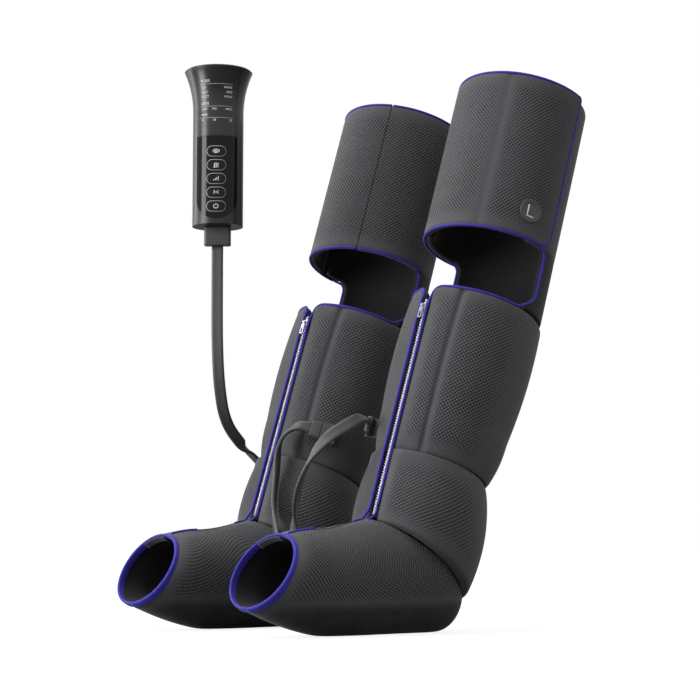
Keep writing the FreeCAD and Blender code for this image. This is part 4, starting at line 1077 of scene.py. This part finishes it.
flap_marks = [math.radians(33 - FLAP_FIRST) * CUFF_R]
flap_piece = wall("flap_pad_left", THIGH, spread(0, flap_width, 6.5, 4, flap_marks),
                  spread(CUFF_LOW, CUFF_TOP, 6.5, 6), flap_sheets, (0.4, 3, 5, 5),
                  [("u", mark, 1.5, 7.0) for mark in flap_marks], hems=(0, 1, 1, 1))
puff(flap_piece, 3.0, 0.0025)
subdivide(flap_piece)
two_faced(flap_piece, mesh_black, axis_of(THIGH))
dress_pair(flap_piece, "flap", None, ["thigh_flap"])

# %% [markdown]
# ## Violet piping
# Piping is a cord wrapped in bias tape and caught in the seam, so it lies on the rounded corner of the
# padding. It follows every free edge: round the flap, along the cuff, up the panel behind the knee, along
# the calf's rim and down both sides of the zip.

# %% Piping of the thigh
PIPE_R = 1.75


def rim_line(radius, first, last, z, step=3.0):
    """Points along a rim."""
    count = max(2, round(abs(last - first) / step))
    return [ring_point(radius, first + (last - first) * k / count, z) for k in range(count + 1)]


def on_flap(radius, u, z):
    """A point on the flap's edge; u is millimetres from its first edge."""
    return ring_point(radius, FLAP_FIRST + math.degrees(u / CUFF_R), z)


FLAP_TOP_CORNER = 5.0
upright = CUFF_TOP - CUFF_LOW - FLAP_CORNER - FLAP_TOP_CORNER
flap_edge = [on_flap(86.4, 2.0 + (flap_width - 2.0 - FLAP_CORNER) * k / 59, CUFF_LOW - 0.5)
             for k in range(60)]
for k in range(1, 12):
    a = math.pi / 2 * k / 12
    flap_edge.append(on_flap(86.5, flap_width - FLAP_CORNER + (FLAP_CORNER + 0.6) * math.sin(a),
                             CUFF_LOW + FLAP_CORNER - (FLAP_CORNER + 0.5) * math.cos(a)))
flap_edge += [on_flap(86.5, flap_width + 0.6, CUFF_LOW + FLAP_CORNER + upright * k / 39) for k in range(40)]
for k in range(1, 6):
    a = math.pi / 2 * k / 6
    flap_edge.append(on_flap(86.5, flap_width - FLAP_TOP_CORNER + (FLAP_TOP_CORNER + 0.6) * math.cos(a),
                             CUFF_TOP - FLAP_TOP_CORNER + (FLAP_TOP_CORNER + 0.5) * math.sin(a)))
flap_edge += [on_flap(86.2, flap_width - FLAP_TOP_CORNER - (flap_width - 7.0) * k / 59, CUFF_TOP + 0.5)
              for k in range(60)]
flap_trim = trim("flap_trim_left", flap_edge, PIPE_R, THIGH)
print("flap trim", len(flap_trim.data.polygons), "faces")
dress_pair(flap_trim, "flap", piping_cloth, ["flap_piping"])

PANEL_EDGE = PANEL_FIRST + math.degrees(0.4 / PANEL_R)
cuff_trims = [trim("cuff_trim_low", rim_line(86.2, 259, 324.6, CUFF_LOW - 0.3), PIPE_R, THIGH),
              trim("cuff_trim_top", rim_line(86.2, 256, 324.6, CUFF_TOP + 0.3), PIPE_R, THIGH)]
knee_trims = []


def on_panel_edge(sign, z):
    """A point on the panel's edge at a height; the sign tells its two sides apart."""
    return ring_point(81.6, sign * (PANEL_EDGE - panel_reach(z)), z)


for sign in (1, -1):
    line = [on_panel_edge(sign, z) for z in range(66, round(CUFF_LOW) - 1)]
    line.append(ring_point(83.4, sign * (PANEL_EDGE - 6.5), CUFF_LOW - 1.2))
    line.append(ring_point(86.0, sign * (PANEL_EDGE - 10.5), CUFF_LOW - 0.4))
    cuff_trims.append(trim("cuff_trim_side", resample(line, 2.0), PIPE_R, THIGH))
    knee_trims.append(trim("knee_trim_side", [on_panel_edge(sign, z) for z in range(26, 68)], PIPE_R, THIGH))
dress_pair(join("thigh_trim_left", cuff_trims), "thigh", piping_cloth, ["thigh_piping"])
dress_pair(join("knee_trim_left", knee_trims), "sleeves", piping_cloth, (), bend=BEND)

# %% [markdown]
# ## Piping below the knee
# On the sleeve the piping starts at the panel's edge, follows the rim of the calf to the front, turns down
# beside the zip with a radius of some 12 mm and ends at the foot. A path through a few set points has hard
# corners, so the one at the panel's foot is eased by averaging each point with its neighbours.

# %% Piping of the sleeve
ZIP_IN_CALF = CALF.inverted() @ ZIP
lower_trims = []


def on_foot(x, y, lift):
    """Point on top of the foot."""
    hit = foot_tree.ray_cast(Vector((BOOT_X + x, SHIFT + y, 400.0)), Vector((0, 0, -1)))
    return hit[0] + Vector((0, 0, lift))


def smoothed(points, passes):
    """The same line with its corners eased by averaging each point with its neighbours."""
    for _ in range(passes):
        inner = [(a + 2 * b + c) / 4 for a, b, c in zip(points, points[1:], points[2:])]
        points = [points[0]] + inner + [points[-1]]
    return points


for sign in (1, -1):
    line = [ZIP_IN_CALF @ Vector((sign * 6.9, -1.6, z)) for z in (8, 40, 90, 140, 190, 225, 268)]
    for k in range(7):
        a = math.pi / 12 * k
        line.append(ring_point(83.8 - 1.6 * k / 6, sign * (5.4 + (12.0 - 11.8 * math.cos(a)) / 1.44),
                               CALF_LEN - 12.4 + 11.8 * math.sin(a)))
    line += [ring_point(82.3, sign * angle, CALF_LEN - 0.5) for angle in range(20, 80, 6)]
    corner = [ring_point(82.3, sign * angle, CALF_LEN - 0.5) for angle in (80, 84)]
    corner += [CALF.inverted() @ (THIGH @ on_panel_edge(sign, z)) for z in (13.2, 15.0, 18.0, 22.0, 26.0)]
    line += smoothed(resample(corner, 2.0), 14)
    lower_trims.append(trim("sleeve_trim", resample(line, 3.0), PIPE_R, CALF))
print("sleeve piping lines", len(lower_trims))

# %% [markdown]
# ## Seam over the instep
# On both sleeves this seam runs a little to the same side of the ridge, so it isn't mirrored with the rest:
# the right one is laid on the other side of the left foot first, and mirrored after that. Piping runs from
# the zip onto the instep, a plain thread carries on, and piping comes back up to the toe binding. The piping
# on the zip's other side ends at the foot.

# %% Instep seam
def seam_side(y):
    """How far the seam lies beside the ridge, at a distance along the foot."""
    return 10.5 * eased((-80.0 - y) / 75.0)


for side, turn in (("left", 1), ("right", -1)):
    start = [ZIP @ Vector((-6.9 * turn, -1.6, z)) for z in (14, 8)]
    start += [on_foot(turn * x, y, 0.6) for x, y in ((-4.6, -75), (-2.2, -81), (-0.6, -88), (0.6, -94))]
    toe_end = [on_foot(turn * seam_side(y), y, 0.5) for y in (-160, -168, -176, -184, -191, -198)]
    zip_end = [ZIP @ Vector((6.9 * turn, -1.6, z)) for z in (12, 6, 1)] + [on_foot(turn * 7.2, -74, -0.4)]
    violet = join("instep_trim_" + side, [trim("part", resample(line, 2.5), PIPE_R, Matrix.Identity(4))
                                          for line in (start, toe_end, zip_end)])
    seam = resample([on_foot(turn * seam_side(y), y, 0.2) for y in range(-94, -164, -6)], 3.0)
    thread = trim("instep_thread_" + side, seam, 0.8, Matrix.Identity(4))
    for piece, slot, material in ((violet, "blue_piping", piping_cloth),
                                  (thread, "smooth_fabric", seam_thread)):
        name = piece.name
        if side == "right":
            piece = other_side(piece, name)
            piece.name = name
        dress(piece, "sleeves", material)
print("seam side at the toes", round(seam_side(-198), 1))

# %% [markdown]
# ## Toe binding
# The toe opening is bound with a wide bias tape that folds over the wall from outside to inside, so it
# has a flat face on both sides and a round front. A curve can carry any closed outline as its bevel, and
# the twist mode Z up keeps that outline square to a level ring. The ring is made level and then
# tipped into the plane of the opening. A second layer down one side is where the tape's ends lap, and a strip
# inside the top is the lining's edge, folded down. Like the seam, they lie on the same side of both sleeves.

# %% Toe binding
TOE_PLACE = FOOT @ Matrix.Translation((0.0, -226.0, 75.0)) @ Matrix.Rotation(math.radians(60.0), 4, "X")
TOE_HALF = (52.0 - 1.3, 49.0 - 1.3)


def band(name, first, last, half_thick, half_wide, push, closed):
    """A tape round the toe opening between two angles in degrees from the top."""
    section = bpy.data.curves.new(name + "_section", "CURVE")
    section.dimensions = "2D"
    spline = section.splines.new("POLY")
    spline.points.add(23)
    for k, point in enumerate(spline.points):
        c, s = math.cos(2 * math.pi * k / 24), math.sin(2 * math.pi * k / 24)
        point.co = (half_thick * math.copysign(abs(c) ** 0.6, c),
                    half_wide * math.copysign(abs(s) ** 0.6, s), 0, 1)
    spline.use_cyclic_u = True
    holder = bpy.data.objects.new(name + "_section", section)
    bpy.context.scene.collection.objects.link(holder)
    line = []
    count = round((last - first) / 4)
    for k in range(count if closed else count + 1):
        a = math.radians(first + (last - first) * k / count)
        line.append(((TOE_HALF[0] + push) * math.sin(a), (TOE_HALF[1] + push) * math.cos(a), -2.4))
    curve = line_curve(name, [line], 0.0, closed)
    curve.twist_mode = "Z_UP"
    curve.bevel_mode = "OBJECT"
    curve.bevel_object = holder
    piece = new_piece(name, curve_mesh(curve), TOE_PLACE)
    bpy.data.objects.remove(holder)
    bpy.data.curves.remove(section)
    return piece


lower_trims.append(band("toe_band", 0.0, 360.0, 1.9, 4.8, 0.0, True))
lower_trim = join("lower_trim_left", lower_trims)
print("sleeve trim", len(lower_trim.data.polygons), "faces")
dress_pair(lower_trim, "sleeves", piping_cloth, ["lower_piping"])
for side, turn in (("left", 1), ("right", -1)):
    for name, first, last, half_thick, half_wide, push, slot, material in (
            ("toe_lap_", 14.0, 176.0, 1.5, 4.4, 1.2, "blue_piping", piping_cloth),
            ("toe_fold_", -40.0, 6.0, 1.0, 4.6, -3.6, "smooth_fabric", seam_thread)):
        low, high = sorted((first * turn, last * turn))
        piece = band(name + side, low, high, half_thick, half_wide, push, False)
        if side == "right":
            piece = other_side(piece, name + side)
        dress(piece, "sleeves", material)

# %% [markdown]
# ## Zip
# The zip is two rows of small metal teeth, clenched in turn onto the two edges of a black tape. Each tooth is
# a cube with its edges bevelled once, which is a couple of dozen faces: there are about 170 on each sleeve,
# so none may be heavier. The slider and its pull come from the construction model.

# %% Zip
ZIP_LEN = 279.0
TOOTH_PITCH = 1.65
TOOTH_SIZE = (2.9, 2.4, 1.15)
bm = bmesh.new()
teeth = int(ZIP_LEN / TOOTH_PITCH)
for k in range(teeth):
    side = 1 if k % 2 else -1
    place = Matrix.Translation((1.0 + side * 0.8, 0.6, TOOTH_PITCH * (k + 0.5)))
    bmesh.ops.create_cube(bm, size=1.0, matrix=place @ Matrix.Diagonal((*TOOTH_SIZE, 1.0)))
bmesh.ops.bevel(bm, geom=bm.edges[:], offset=0.22, segments=1, affect="EDGES", profile=0.5, material=-1)
teeth_piece = new_piece("zip_teeth_left", bm, ZIP, smooth=False)
teeth_pair = dress_pair(teeth_piece, "sleeves", zip_silver)
for one in teeth_pair.values():
    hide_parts("zip_chains")
tape_piece = block("zip_tape_left", ZIP @ Matrix.Translation((0, 2.6, ZIP_LEN / 2)),
                   (14.0, 1.2, ZIP_LEN + 6.0), 0.4, 0.3)
dress_pair(tape_piece, "sleeves", tape_cloth)
print("teeth", teeth)

# %% [markdown]
# ## Badges
# A round soft badge on each flap tells left from right with a plain letter. Its raised rim and dished face
# come from one outline turned about the axis. The letters are drawn with thin strokes, so they are lines
# with a small round bevel, pressed flat, and not a font.

# %% Badges
BADGE = (THIGH @ Matrix.Rotation(math.radians(74.0), 4, "Z") @ Matrix.Translation((0, -CUFF_R, 121.5))
         @ Matrix.Rotation(math.radians(90), 4, "X"))
MIRROR = Matrix.Scale(-1, 4, (1, 0, 0))
BADGE_LINE = [(0.0, -1.2), (14.4, -1.2), (14.9, -0.4), (14.8, 0.7), (14.4, 1.15), (13.7, 1.25), (13.1, 1.05),
              (12.8, 0.7), (12.2, 0.62), (11.9, 0.8), (11.5, 0.85), (11.1, 0.7), (10.8, 0.5), (6.0, 0.5),
              (0.0, 0.5)]
LETTERS = {"left": [[(-4.0, 7.4), (-4.0, -7.4), (5.2, -7.4)]],
           "right": [[(-3.8, -7.4), (-3.8, 7.4), (1.4, 7.4), (3.8, 6.2), (4.7, 4.0), (3.8, 1.7), (1.4, 0.5),
                      (-3.8, 0.5)],
                     [(0.9, 0.5), (4.8, -7.4)]]}


def flat_lines(name, lines, radius, place, flat=0.3):
    """Thin strokes pressed flat on a surface: lines of (x, y) points with a round bevel."""
    bm = curve_mesh(line_curve(name, [[(x, y, 0.0) for x, y in line] for line in lines], radius, fine=1))
    bmesh.ops.scale(bm, vec=(1.0, 1.0, flat), verts=bm.verts)
    return new_piece(name, bm, place)


for side, lines in LETTERS.items():
    place = BADGE if side == "left" else MIRROR @ BADGE @ MIRROR
    dress(turned("badge_disc_" + side, BADGE_LINE, place), "flap_" + side, badge_grey,
          ["badge_" + side])
    dress(flat_lines("badge_letter_" + side, lines, 0.95, place @ Matrix.Translation((0, 0, 0.6))),
          "flap_" + side, print_white)
print("badges", len(LETTERS))

# %% [markdown]
# ## Print on the pump
# The pump's face is printed: a thin ring and a sign on each key, and a small table of settings above them.
# Print has no thickness to speak of, so thin strokes and letters are laid flat first and then bent round the
# pump's axis, just proud of the plastic. The words are plain ones that any such control could carry. Each
# key's sign rides on its key, so that it goes in with it.

# %% Pump print
BEZEL_R = 32.4
KEY_R = 33.4
KEY_Z = [21.6 + 17.7 * n for n in range(5)]
PUMP_R = 32.5
FLARE_START = 148.0
FLARE_R = 129.9
PILL_STEP = 1.6


def flare_radius(z):
    """Radius of the pump's front at a height."""
    rise = max(z - FLARE_START, 0.0)
    return PUMP_R + FLARE_R - math.sqrt(FLARE_R ** 2 - rise ** 2)


def wrap(name, bm, radius_at):
    """Bends flat print, X across and Y up, round the pump's axis, and makes the piece."""
    for vert in bm.verts:
        x, z, height = vert.co
        radius = radius_at(z)
        vert.co = ring_point(radius + height, math.degrees(x / radius), z)
    return new_piece(name, bm, PUMP)


def strokes(lines, radius, closed=False):
    """A bmesh of thin flattened strokes."""
    flat = [[(x, y, 0.0) for x, y in line] for line in lines]
    bm = curve_mesh(line_curve("strokes", flat, radius, closed, 1))
    bmesh.ops.scale(bm, vec=(1.0, 1.0, 0.4), verts=bm.verts)
    return bm


def pill(half_w, half_h, z):
    """Outline of a key: two half circles and straight sides, with points close enough to bend."""
    reach = half_w - half_h
    line = []
    for turn in (1, -1):
        line += [(turn * (PILL_STEP * k - reach), z - turn * half_h)
                 for k in range(1, int((2 * half_w - 2 * half_h) / PILL_STEP))]
        for k in range(17):
            a = -math.pi / 2 + math.pi * k / 16
            line.append((turn * (reach + half_h * math.cos(a)), z + turn * half_h * math.sin(a)))
    return line


def arc(cx, cz, radius, first, last, steps=14):
    """Points on an arc, angles in degrees from straight up."""
    turns = [math.radians(first + (last - first) * k / steps) for k in range(steps + 1)]
    return [(cx + radius * math.sin(a), cz + radius * math.cos(a)) for a in turns]


def wave(x):
    """A rising wave of warm air."""
    return [(x + 0.55 * math.sin(k * math.pi / 3), -2.2 + 4.4 * k / 9) for k in range(10)]


# From the lowest key up: an open ring with a stroke, an M, four rising bars, three waves over a line, and
# a square with a ring in it and a stroke on each side.
SIGNS = [[arc(0, 0, 2.9, 38, 322), [(0, 0.6), (0, 3.6)]],
         [[(-2.6, -2.4), (-2.6, 2.4), (0, -0.9), (2.6, 2.4), (2.6, -2.4)]],
         [[(x, -2.6), (x, top)] for x, top in ((-3.0, -1.2), (-1.0, 0.0), (1.0, 1.3), (3.0, 2.7))],
         [wave(-2.2), wave(0.0), wave(2.2), [(-3.4, -3.1), (3.4, -3.1)]],
         [[(-2.3, -2.3), (2.3, -2.3), (2.3, 2.3), (-2.3, 2.3), (-2.3, -2.3)], arc(0, 0, 1.2, 0, 360),
          [(-3.9, -1.6), (-3.9, 1.6)], [(3.9, -1.6), (3.9, 1.6)]]]


def key_centre(number):
    """Height of a key's middle in the pump's frame."""
    key = nodes["key_%d" % number]
    spots = [key.matrix_world @ v.co for v in key.data.vertices]
    middle = sum(spots, Vector()) / len(spots)
    return (PUMP.inverted() @ (middle * 1000)).z


keys_upwards = sorted(range(1, 6), key=key_centre)
for number, sign, z in zip(keys_upwards, SIGNS, KEY_Z):
    width = 0.55 if sign is SIGNS[1] else 0.4
    bm = strokes([[(x, y + z) for x, y in line] for line in sign], width)
    sign_print = wrap("key_sign_%d" % number, bm, lambda z: KEY_R + 0.12)
    dress(sign_print, "key_%d" % number, print_white)
rings_print = wrap("key_rings", strokes([pill(12.2, 6.6, z) for z in KEY_Z], 0.48, True),
                   lambda z: BEZEL_R + 0.25)
dress(rings_print, "pump", print_grey)
print("keys from below", keys_upwards)


# %% [markdown]
# ## Table of settings
# The table of settings is set in Blender's own font, as text curves turned into mesh and bent with the
# rest, with ruled lines between its parts. Its left column is aligned left and its right column right,
# as in any printed table.

# %% Pump table
def words(entries):
    """A bmesh of small words: (text, x, height, size, alignment)."""
    bm = bmesh.new()
    for text, x, z, size, align in entries:
        curve = bpy.data.curves.new("word", "FONT")
        curve.body = text
        curve.size = size
        curve.align_x = align
        curve.align_y = "CENTER"
        curve.resolution_u = 2
        curve.extrude = 0.04
        one = curve_mesh(curve)
        bmesh.ops.translate(one, vec=(x, z, 0.0), verts=one.verts)
        mesh = bpy.data.meshes.new("word")
        one.to_mesh(mesh)
        one.free()
        bm.from_mesh(mesh)
        bpy.data.meshes.remove(mesh)
    return bm


table = [("MODE", -21.5, 182.7, 4.6, "LEFT"), ("LEVEL", -21.0, 154.6, 4.6, "LEFT"),
         ("TIME", -21.0, 139.7, 4.4, "LEFT")]
for z, left, right in ((174.8, "LEG", "WAVE"), (168.9, "CALF", "STEP"), (163.2, "FOOT", "HOLD")):
    table += [(left, -20.8, z, 4.0, "LEFT"), (right, 20.8, z, 4.0, "RIGHT")]
for z, labels in ((147.2, ("LOW", "MID", "HIGH")), (132.8, ("10", "20", "30"))):
    table += [(label, x, z, 3.8, align) for label, x, align in
              zip(labels, (-20.8, -2.5, 20.8), ("LEFT", "CENTER", "RIGHT"))]


def above_label(z):
    """Radius of print on the label, just proud of the plastic."""
    return flare_radius(z) + 0.12


label_print = wrap("label_print", words(table), above_label)
dress(label_print, "pump", print_white)
rules = [[(-22.3 + 44.0 * k / 20, z) for k in range(21)] for z in (179.0, 150.8, 136.0)]
dress(wrap("label_rules", strokes(rules, 0.3), above_label), "pump", print_grey)
print("label words", len(table))

# %% [markdown]
# ## Finishes of the other pieces
# What keeps the construction model's own shape needs only its finish: the pump's shells and everything
# inside it, the sliders, and the air chambers and heat pads inside the walls.

# %% Finishes
finish = {shell_plastic: ("front_housing", "rear_housing"), cap_plastic: ("top_cap",),
          label_plastic: ("label_panel",),
          gloss_black: ("button_bezel",), key_gloss: tuple("key_%d" % n for n in range(1, 6)),
          mat_grey: ("switch_mat",), board_green: ("circuit_board",), pump_alloy: ("pump_head",),
          inner_plastic: ("carrier", "manifold", "valves"), plug_rubber: ("power_inlet", "hose_ports"),
          metal_bright: ("pump_motor", "housing_screws", "zip_slider_left", "zip_slider_right",
                         "zip_pull_left", "zip_pull_right"),
          film_grey: ("air_bladders_left", "air_bladders_right", "thigh_bladder_left", "thigh_bladder_right"),
          heater_film: ("heat_pad_left", "heat_pad_right"),
          hook_tape: ("hook_patch_left", "hook_patch_right")}
for material, names in finish.items():
    for name in names:
        mesh = nodes[name].data
        for index in range(max(1, len(mesh.materials))):
            if index < len(mesh.materials):
                mesh.materials[index] = material
            else:
                mesh.materials.append(material)
print("finished nodes", sum(len(names) for names in finish.values()))

# %% [markdown]
# ## Floor and background
# The background is plain white. More light would bleach the object, so the white comes from what the camera
# is allowed to see: for camera rays the world has strength 1, and the floor adds a glow of its own that
# grows to white away from the object. Close to it the floor stays dim enough to keep a soft shadow. Shiny
# and clear surfaces see the same white world, and everything else is lit by a weaker one.

# %% Floor and background
bm = bmesh.new()
bmesh.ops.create_grid(bm, x_segments=8, y_segments=8, size=9000.0)
floor = new_piece("floor", bm, smooth=False)
floor_material, tree, floor_shader = base_material("floor", (0.22, 0.22, 0.22), 0.9, Specular_IOR_Level=0.0)
path_kind = tree.nodes.new("ShaderNodeLightPath")
distance = tree.nodes.new("ShaderNodeVectorMath")
distance.operation = "LENGTH"
tree.links.new(tree.nodes.new("ShaderNodeTexCoord").outputs["Object"], distance.inputs[0])
away = tree.nodes.new("ShaderNodeMapRange")
away.inputs["From Min"].default_value = 0.35
away.inputs["From Max"].default_value = 1.3
away.inputs["To Min"].default_value = 0.86
away.inputs["To Max"].default_value = 1.0
tree.links.new(distance.outputs["Value"], away.inputs["Value"])
seen = maths(tree, "MULTIPLY", away.outputs["Result"], path_kind.outputs["Is Camera Ray"])
floor_shader.inputs["Emission Color"].default_value = (1.0, 1.0, 1.0, 1.0)
tree.links.new(seen, floor_shader.inputs["Emission Strength"])
floor.data.materials.append(floor_material)

world = bpy.data.worlds.new("world")
bpy.context.scene.world = world
world.use_nodes = True
tree = world.node_tree
path_kind = tree.nodes.new("ShaderNodeLightPath")
clear = maths(tree, "MAXIMUM", path_kind.outputs["Is Camera Ray"], path_kind.outputs["Is Glossy Ray"])
clear = maths(tree, "MAXIMUM", clear, path_kind.outputs["Is Transmission Ray"])
strength = maths(tree, "ADD", maths(tree, "MULTIPLY", clear, 0.25), 0.75)
tree.nodes["Background"].inputs["Color"].default_value = (1.0, 1.0, 1.0, 1.0)
tree.links.new(strength, tree.nodes["Background"].inputs["Strength"])
print("floor", [round(c) for c in floor.dimensions])

# %% [markdown]
# ## Lamps
# Black cloth on white shows its form only by highlights. A tall soft box at the front left is the main
# light, and it is also what the pump's glossy face mirrors as one upright streak. A narrower one far to
# the left draws the left edges, and a broad one above lifts the tops.

# %% Lamps
def area_light(name, spot, target, size, power):
    """A soft light that faces a point."""
    data = bpy.data.lights.new(name, "AREA")
    data.shape = "RECTANGLE"
    data.size, data.size_y = size
    data.energy = power
    light = bpy.data.objects.new(name, data)
    light.location = spot
    light.rotation_euler = (Vector(target) - Vector(spot)).to_track_quat("-Z", "Y").to_euler()
    bpy.context.scene.collection.objects.link(light)
    return light


area_light("light_left", (-0.52, -1.95, 0.46), (-0.05, 0.0, 0.30), (0.70, 1.3), 37)
area_light("light_far_left", (-1.85, -0.99, 0.55), (0.0, 0.0, 0.35), (0.45, 1.6), 15)
area_light("light_top", (-0.5, -0.7, 2.4), (0.0, 0.0, 0.2), (1.8, 1.8), 42)
bpy.context.scene.view_settings.view_transform = "Standard"
print("lamps", len(bpy.data.lights))
